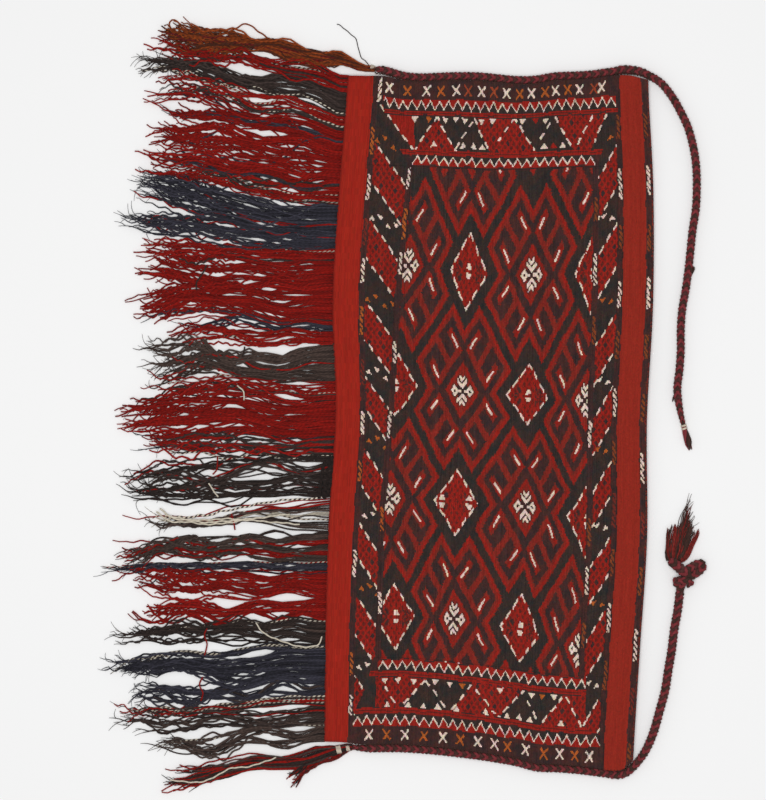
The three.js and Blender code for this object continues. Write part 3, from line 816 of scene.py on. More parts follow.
# Slanting bars fill the two long borders, red and dark in turn, each with a dashed white edge.
spot_row, spot_column = (s * 0.8 + t * 0.52) / 6.6, (s * 0.8 - t * 0.52) / 6.6
spot_size = np.maximum(abs(spot_row % 1 - 0.5), abs(spot_column % 1 - 0.5))
spot_turn = (np.floor(spot_row) * 5 + np.floor(spot_column) * 3) % 7


def fill_bar(bar):
    """Red wool in a lattice of slanting stitches, with small spots of deeper red and some dark ones."""
    work(bar, "red")
    work(bar & (spot_size < 0.29), "deep red")
    work(bar & (spot_turn == 0) & (spot_size < 0.4), "aubergine")


def slanting_bars(border, bar, edges, fills, half_width, stretch):
    """The filled bars of a long border, and a dashed white line along each edge of a bar."""
    for low, high in fills:
        fill_bar(border & band(low, bar, high))
    for edge in edges:
        line = abs(bar - edge) < half_width
        work(border & line & dashes(s * stretch + edge, 11, 9), "white")


def teeth(border, middle_s, slant, places):
    """Short double rows of small triangles across a border, set point to gap, orange and white in turn."""
    reach, pitch, half = 6.4, 23, 4.2
    for number, middle_t in enumerate(places):
        height = t - middle_t - slant * (s - middle_s)
        for way, shift in ((1, 0.25), (-1, 0.75)):
            beside = abs(((s - middle_s) / pitch + shift) % 1 - 0.5) * pitch
            tooth = band(0.4, way * height, reach) & (beside < half * way * height / reach)
            work(border & tooth, ("orange", "white")[number % 2])


fold_border = band(drift((0, 46), (500, 43), (978, 41)), s, inner_guard - guard_half) & (t > 40)
fold_slope = np.interp(t, [100, 500, 900], [1.25, 1.55, 1.62])
fold_stretch = np.hypot(1, fold_slope)
fold_edges = [41, 100, 160, 214, 272, 334, 393, 448, 495, 553, 608, 664, 715, 771, 828, 889, 946]
fold_fills = [(-99, 41), *zip(fold_edges[1::2], fold_edges[2::2])]
work(band(41, s, inner_guard - guard_half), "aubergine")
work(fold_border, "blue-black")
fold_bar = t - fold_slope * (s - 50)
slanting_bars(fold_border, fold_bar, fold_edges, fold_fills, 1.15 * fold_stretch, fold_stretch)
teeth(fold_border, 66, 0.45, (95, 210, 327, 434, 535, 645, 752, 867))

border_start, border_stop = inner_mouth_guard + guard_half, outer_mouth_guard - guard_half
mouth_border = band(border_start, s, border_stop)
mouth_edges = [98, 156, 207, 269, 336, 391, 441, 493, 546, 593, 651, 705, 755, 813, 877, 925]
mouth_fills = zip(mouth_edges[::2], mouth_edges[1::2])
work(mouth_border, "blue-black")
slanting_bars(mouth_border, t + 1.75 * (s - border_stop), mouth_edges, mouth_fills, 2.3, 2.02)
teeth(mouth_border, 375, -0.45, (85, 200, 318, 432, 530, 638, 748, 862))

# Narrow guard stripes run beside the borders, dark with short runs of slanted stitches.
guards = [
    (drift((0, 42), (500, 39), (978, 37)), {
        "white": [(140, 177), (264, 300), (488, 522), (690, 730), (903, 933)],
        "orange": [(72, 112), (333, 376), (560, 590), (840, 875)],
        "dull red": [(205, 245), (410, 450)]}),
    (inner_guard, {
        "white": [(123, 160), (255, 287), (385, 417), (487, 527), (753, 787)],
        "orange": [(190, 235), (630, 665)]}),
    (inner_mouth_guard, {
        "white": [(250, 295), (487, 525), (695, 735)],
        "rust": [(170, 205), (340, 380), (625, 665), (775, 810)]}),
    (outer_mouth_guard, {
        "rust": [(55, 90), (210, 245), (360, 400), (517, 550), (670, 708), (828, 870)],
        "white": [(132, 173), (292, 328), (443, 483), (745, 787)],
        "dull red": [(590, 640)]}),
    (mouth_strip, {
        "rust": [(52, 88), (210, 248), (367, 400), (450, 490), (695, 735), (945, 970)],
        "white": [(128, 170), (286, 332), (535, 577), (783, 827)],
        "dull red": [(617, 655), (865, 905)]})]
for middle, runs in guards:
    beside = s - middle
    stripe = abs(beside) < guard_half
    work(stripe, "aubergine")
    for yarn, spans in runs.items():
        for low, high in spans:
            run = stripe & band(low, t, high) & dashes(t - low - 1.7 * beside, 5.4, 3.4)
            work(run & (abs(beside) < 2.3), yarn)
corner_run = (abs(s - drift((0, 51), (40, 46))) < 2.9) & band(3, t, 37)
work(corner_run & dashes(t + 1.5 * s, 5.0, 2.8), "white")
mouth_edge = s > mouth_strip + guard_half
work(mouth_edge, "aubergine")
work(mouth_edge & (ragged < 0.45), "dull red")
work(band(outer_mouth_guard + guard_half, s, mouth_strip - guard_half), "mouth red")

# Rows of crosses, teeth and barred triangles close the face at both short ends.
upper_end = band(drift((0, 50), (60, 56), (field_top, 97)), s, outer_mouth_guard) & (t < field_top)
upper_end &= s < drift((0, outer_mouth_guard), (48, outer_mouth_guard), (field_top, inner_mouth_guard))
lower_end = band(drift((850, 68), (878, 62), (932, 42), (978, 36)), s, outer_mouth_guard) & (t > field_foot)
lower_end &= s < drift((850, 366), (925, 368), (932, outer_mouth_guard), (978, outer_mouth_guard))
for part in (upper_end, lower_end):
    work(part, "aubergine")


def zigzag(low_s, high_s, low_t, high_t, count, above, below, part):
    """A white line of teeth across the end, with one yarn above it and another below."""
    wave = abs(((s - low_s) / (high_s - low_s) * count) % 1 * 2 - 1)
    line = low_t + (high_t - low_t) * wave
    row = part & band(low_s, s, high_s)
    work(row & band(low_t - 2, t, line), above)
    work(row & band(line, t, high_t + 2), below)
    work(row & (abs(t - line) < 1.45), "white")


def crosses(middle_t, places):
    """A row of small crosses, each yarn with its places."""
    for yarn, middles in places.items():
        for middle_s in middles:
            left, right = middle_s - 4.5, middle_s + 4.5
            work(stroke((left, middle_t + 6.5), (right, middle_t - 6.5), 2.6), yarn)
            work(stroke((left, middle_t - 6.5), (right, middle_t + 6.5), 2.6), yarn)


def pennants(middle_t, way, places):
    """Small triangles along one edge of an end border, each yarn with its places."""
    drop = (t - middle_t) * way
    for yarn, middles in places.items():
        for middle_s in middles:
            work((abs(drop) < 4) & (abs(s - middle_s) < 4.4 * (4.6 - drop) / 8), yarn)


def red_line(part, low, groove_low, groove_high, high):
    """A red line across the end, with a deeper red one along its middle."""
    work(part & band(low, t, high), "red")
    work(part & band(groove_low, t, groove_high), "deep red")


def barred_border(border, bars, wedges, strokes):
    """A dark border with filled bars and red wedges between lines, and dashed white strokes."""
    work(border, "blue-black")
    for left, right in zip(bars[::2], bars[1::2]):
        fill_bar(border & between(left, right))
    for left, right in wedges:
        work(border & between(left, right), "red")
    for start, end in strokes:
        run = np.hypot(s - start[0], t - start[1])
        work(border & stroke(start, end, 2.6) & dashes(run + 3, 11, 8), "white")


crosses(15, {
    "orange": (88, 137, 251, 288, 321), "brick": (176, 214, 359),
    "white": (62, 116, 159, 196, 232, 268, 303, 338, 370)})
zigzag(50, 390, 30, 43, 26, "red", "blue-black", upper_end)
red_line(upper_end, 45.5, 47.8, 49.4, 51)
upper_bars = [
    ((132, 52), (103, 104)), ((132, 52), (160, 102)), ((187, 55), (208, 100)),
    ((243, 50), (272, 100)), ((303, 55), (325, 100)), ((375, 55), (358, 90))]
upper_dashes = [
    ((62, 55), (103, 104)), ((183, 60), (158, 102)), ((243, 50), (222, 85)),
    ((295, 62), (278, 88)), ((355, 55), (333, 95))]
upper_wedge = ((62, 55), (103, 104)), ((98, 50), (104, 104))
barred_border(upper_end & band(53, t, 103), upper_bars, [upper_wedge], upper_bars + upper_dashes)
pennants(58, 1, {"white": (100, 145, 160, 173, 196, 211, 255, 288), "orange": (120,), "red": (274,)})
pennants(94, -1, {"white": (130, 170, 185, 198, 286, 312), "red": (299,)})
red_line(upper_end, 102.5, 105, 106.8, 110)
zigzag(100, 357, 112, 123, 20, "blue-black", "red", upper_end)

zigzag(75, 365, 855, 867, 22, "red", "blue-black", lower_end)
red_line(lower_end, 869.5, 872.4, 874.2, 877)
lower_bars = [
    ((72, 882), (72, 925)), ((140, 882), (105, 925)), ((205, 882), (175, 927)),
    ((280, 878), (245, 922)), ((333, 882), (308, 920)), ((387, 880), (365, 920))]
lower_dashes = [
    ((85, 893), (105, 928)), ((142, 882), (170, 918)), ((213, 888), (240, 918)),
    ((285, 893), (303, 922)), ((340, 882), (362, 922))]
barred_border(lower_end & band(878, t, 923), lower_bars, [], lower_bars[1:] + lower_dashes)
pennants(884, 1, {"white": (85, 103, 125, 155, 175, 247, 290, 322), "orange": (193, 305)})
pennants(918, -1, {"white": (88, 118, 140, 160, 187, 227, 257, 275, 290, 333)})
red_line(lower_end, 923.5, 926.6, 928.4, 931.5)
zigzag(40, 390, 935, 948, 26, "blue-black", "red", lower_end)
crosses(963, {
    "orange": (88, 141, 192, 259, 311, 354),
    "white": (63, 114, 168, 217, 241, 285, 333, 375)})

# Each stitch takes its yarn's dye, a little uneven from one dip of the yarn to the next, and the
# brocade yarns stand proud of the ground weave.
face_rng = np.random.default_rng(3)
pick_tone = np.repeat(face_rng.normal(0, 0.05, (1, columns)), rows, axis=0)
for dip_length in (5, 14, 40):
    dips = face_rng.normal(0, 0.05, (rows // dip_length + 2, columns))
    dip = (np.arange(rows)[:, None] + face_rng.integers(0, dip_length, (1, columns))) // dip_length
    pick_tone += np.take_along_axis(dips, dip, axis=0)
mottle = sum(np.sin(s / size + 2.1 * np.sin(t / bend)) * np.sin(t / size + 1.7 * np.sin(s / bend))
             for size, bend in ((3.1, 11.0), (5.3, 17.0), (9.7, 23.0)))
dark = worked("aubergine", "blue-black")[..., None]
face_dye = yarn_dyes[chart] * np.where(dark, 1 + mottle[..., None] * (0.17, 0.03, -0.02), 1)
calm = np.where(worked("fold red", "mouth red"), 0.55, 1.0)
unevenness = 1 + calm * (pick_tone + face_rng.normal(0, 0.08, chart.shape)).clip(-0.4, 0.5)
hue_shift = 1 + 0.09 * calm[..., None] * face_rng.normal(0, 1, face_dye.shape)
face_dye = face_dye * unevenness[..., None] * hue_shift

lift = yarn_heights[chart] + face_rng.uniform(0, 0.12, chart.shape)
padded = np.pad(lift, 1, mode="edge")
corner_lift = (padded[:-1, :-1] + padded[1:, :-1] + padded[:-1, 1:] + padded[1:, 1:]) / 4
corner_s, corner_t = np.meshgrid(edge_s, edge_t)
x, y = on_cloth(corner_s, corner_t)
turn_radius = cloth_top / 2
off_turn = 1 - np.clip(corner_s / turn_radius, 0, 1)
round_off = turn_radius * (1 - np.sqrt(np.clip(1 - off_turn ** 2, 0, 1)))
face_height = cloth_top + 0.2 + ripple(corner_s, corner_t) - round_off + corner_lift
face_top = np.stack([x, y, face_height], axis=-1)
face_foot = np.stack([x, y, np.full(x.shape, cloth_top - 1.8) - 0.6 * round_off], axis=-1)
hidden_red = dye(84, 28, 23)
foot_span = 9

woven_wool, blank = empty_material("woven_wool")
colour = blank.node("Attribute", {"attribute_name": "dye"}, out="Color")
stitch = blank.node("SeparateXYZ", {}, {0: blank.node("UVMap", {"uv_map": "stitch"})})
row_wave = abs((stitch * np.pi).sine())
float_wave = abs((stitch.out("Y") * np.pi).sine())
place = blank.node("NewGeometry", out="Position")
fibre = blank.node("TexNoise", {}, {"Vector": place, "Scale": 1400.0, "Detail": 2.0})
stitch_height = row_wave + 0.7 * float_wave + 0.5 * fibre
# The tone dips with row_wave where the stitch relief dips: painted shade in the grooves between stitches,
# with random fibre tone on top.
finish_wool(blank, colour, 0.86 + 0.14 * row_wave + 0.1 * (fibre - 0.5),
            {"Strength": 0.5, "Distance": 0.35 * mm, "Height": stitch_height},
            {"Specular IOR Level": 0.1, "Sheen Weight": 0.02, "Sheen Roughness": 0.6})


def odd_spans(count):
    """An odd number of stitches cut into odd spans."""
    return list(range(0, foot_span * 2 * ((count - 1) // (2 * foot_span)) + 1, foot_span)) + [count]


def rim(edge, feet, places):
    """The wall between a fine edge of stitches and the few feet below it."""
    quads = []
    for f, (low, high) in enumerate(zip(places, places[1:])):
        quads += [(feet[f], *edge[k:k + 3]) for k in range(low, high - 2, 2)]
        quads.append((feet[f], edge[high - 1], edge[high], feet[f + 1]))
    return np.array(quads)


def face_part(name, left, right, upper, lower, run=1):
    """Some columns and runs of rows of the face, an odd number of each, as a thin layer on the cloth."""
    across_feet, along_feet = odd_spans(right - left), odd_spans((lower - upper) // run)
    top = face_top[upper:lower + 1:run, left:right + 1]
    foot = face_foot[upper:lower + 1:run, left:right + 1][np.ix_(along_feet, across_feet)]
    high = np.arange(top[..., 0].size).reshape(top.shape[:2])
    low = high.size + np.arange(foot[..., 0].size).reshape(foot.shape[:2])
    stitches = np.stack([high[:-1, :-1], high[1:, :-1], high[1:, 1:], high[:-1, 1:]], axis=-1)
    stitches = stitches.reshape(-1, 4)
    under = np.stack([low[:-1, :-1], low[:-1, 1:], low[1:, 1:], low[1:, :-1]], axis=-1)
    hidden = np.concatenate([
        under.reshape(-1, 4),
        rim(high[0], low[0], across_feet),
        rim(high[-1], low[-1], across_feet)[:, ::-1],
        rim(high[:, 0], low[:, 0], along_feet)[:, ::-1],
        rim(high[:, -1], low[:, -1], along_feet)])
    faces = np.concatenate([stitches, hidden])
    seen_dyes = face_dye[upper:lower:run, left:right].reshape(-1, 3)
    tints = np.concatenate([seen_dyes, np.tile(hidden_red, (len(hidden), 1))])
    counts = np.stack(np.meshgrid(np.arange(left, right + 1), np.arange(upper, lower + 1, run)), axis=-1)
    foot_counts = counts[np.ix_(along_feet, across_feet)]
    counts = np.concatenate([counts.reshape(-1, 2), foot_counts.reshape(-1, 2)])[faces].astype(float)
    bake = (counts - (left, upper)) / (right - left, lower - upper)
    points = np.concatenate([top.reshape(-1, 3), foot.reshape(-1, 3)])
    piece = make_piece(name, points, faces, woven_wool, tints, None,
                       {"OFBake": bake, "stitch": counts}, rounded=len(stitches))
    return piece


face_parts = [
    face_part("fold_band", 0, 27, 0, rows, run=5),
    face_part("upper_end_rows", 27, 304, 0, 67),
    face_part("fold_border", 27, 76, 67, 448),
    face_part("medallion_field", 76, 273, 67, 448),
    face_part("mouth_border", 273, 304, 67, 448),
    face_part("lower_end_rows", 27, 304, 448, rows),
    face_part("mouth_band", 304, columns, 0, rows)]


# Sewn braids
# The braid of each tie starts beside the fold and is sewn down along the whole short side, where it
# covers the seam. A dark thread laid in zigzag holds it to the edge of the cloth.
sewn_start = 40
sewn_points = 33
sewn_share = 0.88
upper_corner_route = [(193.5, 499), (204.5, 498.5), (214, 497.4), (222.5, 495), (230.4, 491)]
lower_corner_route = [(169, -513), (180, -514.9), (190, -515), (198, -512.3), (205.5, -507)]
braid_radius = 6.0
braid_gap = 0.3
end_lift = 4.2
end_share = 0.2
seam_height = 11.4


def sewn_route(t, outward, corner_route):
    """Along the edge of the cloth, and then round the mouth's corner."""
    along = np.linspace(0, 1, sewn_points)
    along = along[along < sewn_share]
    x, y = on_cloth(sewn_start + (cloth_depth - sewn_start) * along, np.full(len(along), t))
    lift = end_lift * np.maximum(0, outward) * np.maximum(0, 1 - along / end_share) ** 2
    edge_route = np.column_stack([x, y + outward * (braid_radius + braid_gap + lift)])
    return np.concatenate([edge_route, corner_route])


upper_sewn_route = sewn_route(0.0, 1, upper_corner_route)
lower_sewn_route = sewn_route(cloth_width, -1, lower_corner_route)
for side, route, inward, slim in (("upper", upper_sewn_route, -1, 10), ("lower", lower_sewn_route, 1, 26)):
    _, *strands = braid_strands(route, joint=1.0, roll=np.pi / 2, slim_start=slim)
    seam = evenly(np.column_stack([route, np.full(len(route), seam_height)]), 2.4)
    zigzag_step = np.where(np.arange(len(seam)) % 2, 1.5, -0.6)
    seam[:, 1] += inward * (braid_radius + zigzag_step)
    seam[:, 2] += 0.8 * zigzag_step
    # The seam thread's second ply is its dye darkened: painted shade of the twist.
    seam_thread = one_yarn(seam, 0.9, braid_dark, braid_dark * 0.8)
    piece = yarn_piece(side + "_side_braid", [braid_bundle(*strands), seam_thread], braid_wool)
    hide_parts("side_braid_" + side)


# Fringe
# Loose two-ply yarns are drawn through the fold in locks of one dye after another, and hang out
# beyond it. On the table they have gathered into strands, crossed and frayed at their tips.
fringe_rng = np.random.default_rng(5)
red, black, navy = dye(140, 22, 15), dye(54, 44, 41), dye(49, 48, 57)
brown, cream = dye(68, 55, 50), dye(214, 204, 186)
# A kind of yarn: the colours of its two plies. The second is its own dye, cream in the mixed yarns, darkened
# as painted shade of the twist.
yarn_kinds = {
    "R": (red, red * 0.75), "K": (black, black * 0.75), "N": (navy, navy * 0.75),
    "B": (brown, brown * 0.75), "W": (cream, cream * 0.85), "T": (black, cream * 0.75),
    "P": (red, cream * 0.75), "G": (brown, cream * 0.6), "C": (black * 0.55, black * 0.4)}
# A lock: its share of the fold, its dye, and its tails. A tail: the shares of the lock where it starts
# and ends, its number of yarns, how far left its tips lie, its upper and lower edge at one, two and
# three quarters of its reach and at the tips, and its kinds of yarn from the upper side to the lower.
fringe_locks = [
    (15, "red", [
        (0, 1, 26, -494, (513, 485), (522, 502), (531, 510), (536, 513), "RRRRKRRRRTRRRRRKRRRRR")]),
    (23, "black", [
        (0, 1, 34, -504, (490, 459), (493, 470), (508, 487), (516, 499), "K" * 22 + "TKK")]),
    (22, "black", [
        (0, 1, 24, -508, (458, 420), (464, 427), (481, 454), (490, 463), "KRRRPRRRRRTKKKRRRRRN")]),
    (47, "red", [
        (0, 1, 90, -501, (426, 329), (431, 343), (444, 352), (446, 362), "RRRNN" + "R" * 35 + "NK")]),
    (20, "red", [
        (0, 1, 26, -455, (335, 307), (343, 313), (355, 329), (358, 338), "KKRRRRRRRRTRRRRRRRTRKR")]),
    (43, "navy", [
        (0, 0.65, 46, -527, (307, 260), (320, 271), (341, 294), (352, 318), "NNNNNNNNNNNNNNNNRNNNNNNN"),
        (0.65, 1, 26, -533, (269, 240), (286, 246), (289, 257), (297, 274), "NNNNRNNNNNNNRNN")]),
    (40, "red", [
        (0, 1, 60, -508, (243, 179), (246, 185), (251, 191), (254, 199), "RRPRRRRRRRK" + "R" * 25)]),
    (38, "red", [
        (0, 1, 50, -527, (182, 132), (188, 145), (191, 148), (179, 142), "R" * 26 + "KRRRNN")]),
    (17, "navy", [
        (0, 1, 24, -465, (132, 103), (136, 100), (142, 109), (136, 110), "NNNNNRRRRRRRRRTRRR")]),
    (40, "brown", [
        (0, 1, 42, -511, (93, 50), (87, 53), (103, 70), (103, 50), "B" * 15 + "R" + "B" * 14 + "RB")]),
    (13, "red", [
        (0, 1, 15, -510, (48, 28), (50, 31), (55, 35), (47, 32), "RKRRRRRPRKRR")]),
    (42, "red", [
        (0, 1, 72, -541, (28, -34), (34, -28), (41, -31), (21, -34), "RRK" + "R" * 29 + "NKR")]),
    (16, "black", [
        (0, 1, 20, -523, (-34, -58), (-31, -58), (-28, -54), (-35, -50), "KKKKRRKKKKRRRKKT")]),
    (41, "black", [
        (0, 1, 40, -536, (-57, -117), (-60, -116), (-74, -120), (-83, -109), "KKKKKKKRKKKKBKKKKKRKKKKK")]),
    (35, "brown", [
        (0, 1, 16, -527, (-120, -161), (-132, -158), (-142, -159), (-142, -163), "TRRRKBKWKGKKKBK")]),
    (30, "brown", [
        (0, 1, 34, -564, (-171, -210), (-171, -201), (-174, -201), (-188, -210), "BBBBBRRRBBBBRRRBBBB")]),
    (11, "navy", [
        (0, 1, 12, -552, (-210, -227), (-208, -224), (-207, -221), (-212, -241), "PNNNNNNNRN")]),
    (47, "red", [
        (0, 0.52, 29, -530, (-226, -257), (-226, -259), (-221, -257), (-217, -251), "RRRRRRRRRR"),
        (0.52, 1, 24, -527, (-266, -289), (-269, -291), (-270, -294), (-268, -295), "RRRRRRRRRR")]),
    (25, "black", [
        (0, 1, 22, -553, (-289, -326), (-290, -325), (-297, -325), (-305, -322), "KTKKKKKBKKKKKKTKK")]),
    (50, "navy", [
        (0, 0.62, 46, -559, (-329, -379), (-333, -383), (-342, -366), (-352, -367), "NTNNNNNNNNNNNNNNNN"),
        (0.62, 1, 22, -547, (-374, -404), (-384, -405), (-396, -411), (-390, -410), "NNNNNNKNNNNN")]),
    (11, "white", [
        (0, 1, 11, -552, (-402, -417), (-411, -426), (-414, -431), (-414, -431), "GRKPRGKR")]),
    (39, "brown", [
        (0, 0.45, 16, -552, (-420, -445), (-425, -448), (-424, -452), (-417, -450), "BKKRBKKBKBKK"),
        (0.45, 1, 18, -502, (-442, -473), (-449, -477), (-462, -482), (-466, -480), "BTBKBBKBBBKB")])]
# A stray thread: the lock it lies on, its kind of yarn, its radius and its way.
stray_threads = [
    (18, "R", 1.1, [(-404, -304), (-408, -315), (-404, -327), (-408, -343)]),
    (19, "R", 1.1, [(-410, -374), (-415, -386), (-410, -397), (-413, -408)]),
    (6, "K", 1.1, [(-405, 218), (-410, 206), (-419, 194), (-419, 182)]),
    (9, "K", 1.1, [(-350, 100), (-351, 94), (-353, 86)]),
    (12, "W", 1.1, [(-361, 45), (-352, 36), (-351, 24)]),
    (14, "W", 1.1, [(-402, -96), (-394, -108), (-388, -116)]),
    (14, "C", 2.8, [
        (-222, -57), (-229, -67), (-223, -77), (-232, -87), (-226, -97), (-236, -107), (-232, -116)]),
    (14, "C", 2.6, [
        (-229, -57), (-223, -68), (-232, -78), (-227, -88), (-236, -98), (-230, -108), (-237, -117)]),
    (14, "C", 2.4, [(-235, -63), (-238, -77), (-240, -91), (-242, -105), (-243, -118)]),
    (13, "R", 1.1, [(-389, -57), (-390, -76), (-396, -83)]),
    (15, "R", 1.1, [(-369, -140), (-366, -152), (-364, -163)]),
    (15, "W", 1.3, [
        (-472, -132), (-455, -145), (-432, -149), (-405, -152), (-361, -149), (-325, -145), (-285, -140)]),
    (15, "W", 1.2, [(-477, -137), (-458, -150), (-429, -152), (-397, -155), (-357, -150)]),
    (15, "W", 1.2, [
        (-465, -142), (-443, -146), (-415, -149), (-379, -147), (-343, -149), (-307, -152), (-271, -155)]),
    (19, "W", 1.1, [(-239, -316), (-246, -329), (-275, -330), (-298, -322), (-322, -312), (-334, -296)])]
yarn_radius = 1.3
clump_width = 8.0
stray_height = 8.5
yarn_run = np.concatenate([np.linspace(0, 0.55, 13)[:-1], np.linspace(0.55, 1, 29)])


def eased(value):
    """A change from 0 to 1 that starts and ends softly."""
    value = np.clip(value, 0, 1)
    return value * value * (3 - 2 * value)


def waves(rng, count, size, length, reach):
    """Slow bends of some yarns, each with its own size, length and start."""
    sizes = rng.normal(0, size, (count, 1))
    lengths = length * rng.uniform(0.7, 1.4, (count, 1))
    return sizes * np.sin(2 * np.pi * (yarn_run * reach / lengths + rng.random((count, 1))))


def laid_yarns(rng, root_x, root_y, root_z, tip_x, stations, kinds, unrest=1.0):
    """Yarns from their roots to the tips between two edges, as a bundle."""
    count = len(root_x)
    share = (np.arange(count) + rng.uniform(0, 1, count)) / count
    reach = root_x.mean() - tip_x
    upper, lower = smooth(np.array([(root_y.max(), root_y.min()), *stations]), yarn_run).T
    width = abs(upper - lower).mean()

    clumps = max(2, round(width / clump_width))
    cuts = np.sort(rng.uniform(0.04, 0.96, clumps - 1))
    clump = np.searchsorted(cuts, share)
    middles = np.array([share[clump == c].mean() if (clump == c).any() else 0 for c in range(clumps)])
    gather = 0.3 * eased((yarn_run - 0.1) / 0.4) + 0.35 * eased((yarn_run - 0.55) / 0.45)
    lane = share[:, None] + (middles[clump] - share)[:, None] * gather
    crossing = rng.random((count, 1)) < 0.26
    leap = rng.normal(0, 0.4, (count, 1)) * eased((yarn_run - rng.uniform(0.05, 0.7, (count, 1))) / 0.35)
    lane = np.clip(lane + crossing * leap, -0.14, 1.14)
    bend = waves(rng, 1, 2.0, 190, reach) + waves(rng, clumps, 3.4, 120, reach)[clump]
    bend = bend + waves(rng, count, 1.8, 75, reach)
    bend = bend + waves(rng, count, 1.7, 42, reach) * (0.4 + 0.6 * yarn_run)
    crimp = waves(rng, count, 1.2, 18, reach) * eased((yarn_run - 0.45) / 0.3)
    at_tip = np.clip((yarn_run - 0.88) / 0.12, 0, 1)
    fray = rng.normal(0, 6.0, (count, 1)) * at_tip ** 2
    y = upper + (lower - upper) * lane + unrest * (bend * eased(yarn_run / 0.2) + crimp) + fray
    y = y + (root_y[:, None] - y) * (1 - eased(yarn_run / 0.1))

    length = reach * (0.86 + 0.14 * rng.random(clumps))[clump] * rng.uniform(0.86, 1.03, count)
    x = root_x[:, None] - length[:, None] * yarn_run
    radius = yarn_radius * rng.uniform(0.75, 1.15, count)
    kind = [kinds[int(place * len(kinds))] for place in share]
    first, second = (np.array([yarn_kinds[letter][ply] for letter in kind]) for ply in (0, 1))
    speckled = second[:, :1] > first[:, :1]
    pile = rng.random((count, 1)) ** 1.3 * 4.6 + 1.6 * crossing
    pile = radius[:, None] + np.where(speckled, 0.5, 1) * pile
    z = pile + (root_z[:, None] - pile) * np.exp(-yarn_run * reach / 30)
    z = np.maximum(z + waves(rng, count, 0.5, 60, reach), radius[:, None] * 0.9)
    reddish = first[:, :1] > 3 * first[:, 1:2]
    tint = np.where(reddish, rng.uniform(0.7, 1.25, (count, 1)), rng.uniform(0.55, 1.6, (count, 1)))
    girth = radius[:, None] * (1 - np.where(reddish, 0.35, 0.75) * at_tip)
    return np.stack([x, y, z], axis=-1), girth, first * tint, second * tint, 6


def wisps(rng, yarn):
    """Fine ends of fibre that fan out beyond the tips of dark yarns."""
    paths, _, first, second, _ = yarn
    chosen = np.flatnonzero((first[:, 0] < 3 * first[:, 1]) & (rng.random(len(paths)) < 0.6))
    share = np.linspace(0, 1, 8)[None, :, None]
    run_x, run_y, _ = (paths[chosen, -1] - paths[chosen, -6]).T
    turn = np.arctan2(run_y, run_x) + rng.normal(0, 0.35, len(chosen))
    curl = turn + rng.normal(0, 0.5, len(chosen))
    length = rng.uniform(8, 26, len(chosen))[:, None, None]
    straight, turned = (np.stack([np.cos(a), np.sin(a), 0 * a], axis=-1)[:, None] for a in (turn, curl))
    hair = paths[chosen, -3][:, None] + length * (share * straight + share ** 2 * (turned - straight))
    hair[..., 2] = 0.6 + (hair[..., 2] - 0.6) * (1 - 0.8 * share[..., 0])
    return hair, np.tile(np.linspace(0.5, 0.22, 8), (len(chosen), 1)), first[chosen], second[chosen], 4


def stray(kind, radius, points):
    """One loose thread that lies across the others, at the usual height unless its points have their own."""
    path = evenly([(*point, stray_height)[:3] for point in points], 3.0)
    bend = np.arange(len(path))
    path[:, 1] += 0.5 * np.sin(1.1 * bend + points[0][0]) + 0.4 * np.sin(0.47 * bend)
    return one_yarn(path, radius, *yarn_kinds[kind])


fringe_pieces = []
share_total = sum(lock[0] for lock in fringe_locks)
share_done = 0
for number, (share, colour, tails) in enumerate(fringe_locks, 1):
    start_t = cloth_width * share_done / share_total
    wide = cloth_width * share / share_total
    share_done += share
    bundles = []
    for low, high, count, tip_x, *stations, kinds in tails:
        root_x, root_y = on_cloth(np.zeros(count), start_t + wide * np.linspace(low, high, count))
        root_z = fringe_rng.uniform(3.4, 9.2, count)
        yarn = laid_yarns(fringe_rng, root_x + 1.5, root_y, root_z, tip_x, stations, kinds)
        bundles += [yarn, wisps(fringe_rng, yarn)]
    bundles += [stray(*thread) for owner, *thread in stray_threads if owner == number]
    bundles = [bundle for bundle in bundles if len(bundle[0])]
    lock = yarn_piece(f"fringe_{number:02d}_{colour}", bundles, loose_wool)
    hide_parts(f"fringe_lock_{number:02d}")
    {"white": "white_yarn"}.get(colour, colour + "_fringe")
    fringe_pieces.append(lock)

face_parts + fringe_pieces


# Corner bindings and tassels
# Where each sewn braid stops beside the fold it is bound with white yarn, and the yarns it was
# worked from run on as a loose tassel, rust at the upper corner and red with black at the lower.
corner_rng = np.random.default_rng(23)
rust, dark_rust = dye(141, 65, 27), dye(82, 42, 27)
# More kinds of yarn; each second ply is darkened as painted shade of the twist.
yarn_kinds |= {
    "O": (rust, rust * 0.7), "D": (dark_rust, dark_rust * 0.8), "M": (dye(104, 30, 27), dye(80, 24, 22))}
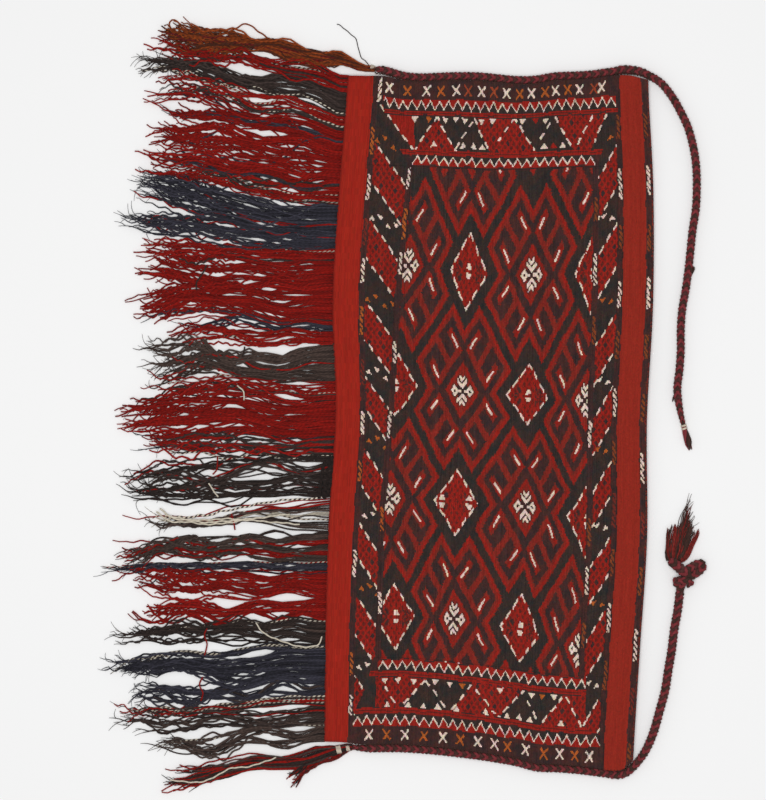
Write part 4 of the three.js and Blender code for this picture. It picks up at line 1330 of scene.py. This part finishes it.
# A corner: its braid, the way its tassel leaves, the tassel's slot and unrest, and then its windings,
# its tassel's tails and its stray threads. A winding: how far from the braid's end it starts, its
# length and its radius.
corners = {
    "upper": (upper_sewn_route, (-0.93, 0.37), "rust_tassel", 1.2, [(0.5, 6.5, 4.2)], [
        (74, -496, (524, 505), (541, 523), (550, 527), (568, 532), "OODOODMDOOODDMODOODO")], [
        ("O", 1.1, [
            (-400, 545, 5), (-386, 548, 6), (-366, 557, 4), (-347, 565, 1.4), (-330, 554, 3),
            (-312, 540, 6)]),
        ("O", 1.1, [
            (-425, 552, 5), (-439, 557, 5), (-446, 568, 2), (-455, 571, 1.4), (-459, 564, 2),
            (-453, 552, 5)]),
        ("K", 0.65, [
            (-171, 505, 9), (-177, 511, 7), (-182.6, 517, 3), (-186.5, 530, 1.2), (-190.6, 544, 1),
            (-198.7, 551, 1), (-211.7, 562.8, 1), (-217.6, 564.6, 1)])]),
    "lower": (lower_sewn_route, (-0.985, -0.17), "red_fringe", 0.6, [(4, 5, 4.8), (16.5, 6, 6.4)], [
        (50, -466, (-479, -502), (-488, -510), (-500, -523), (-512, -535), "MRKMKKKRKKKKKMKKRKR"),
        (18, -290, (-484, -491), (-490, -498), (-498, -510), (-510, -531), "KRKRMKRM")], [
        ("W", 1.1, [
            (-458, -523), (-432, -525), (-410, -525), (-394, -518), (-370, -506), (-339, -502),
            (-305, -490)])])}
for side, (route, ahead, tassel_slot, unrest, windings, tails, loose) in corners.items():
    ahead = np.append(unit(np.array(ahead)), 0)
    root = np.append(route[0], 0.76 * braid_height) + braid_gap * ahead
    bands = []
    for distance, length, radius in windings:
        path = winding(root + distance * ahead, ahead, length, radius, 1.9)
        # The binding's second ply is the white darkened: painted shade of the twist.
        bands.append(one_yarn(path, 0.95, white_wool, white_wool * 0.75))
    binding = yarn_piece(side + "_corner_binding", bands, loose_wool)
    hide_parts("corner_binding_" + side)
    core = windings[0][2] - binding_thread
    bundles = []
    for count, tip_x, *stations, kinds in tails:
        root_x = np.full(count, root[0])
        spread = core * np.linspace(1, -1, count)
        root_z = root[2] + corner_rng.uniform(-1, 1, count) * np.sqrt(core ** 2 - spread ** 2)
        bundles.append(laid_yarns(
            corner_rng, root_x, root[1] + spread, root_z, tip_x, stations, kinds, unrest))
    bundles += [stray(*thread) for thread in loose]
    tassel = yarn_piece(side + "_corner_tassel", bundles, loose_wool)
    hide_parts("corner_tassel_" + side)
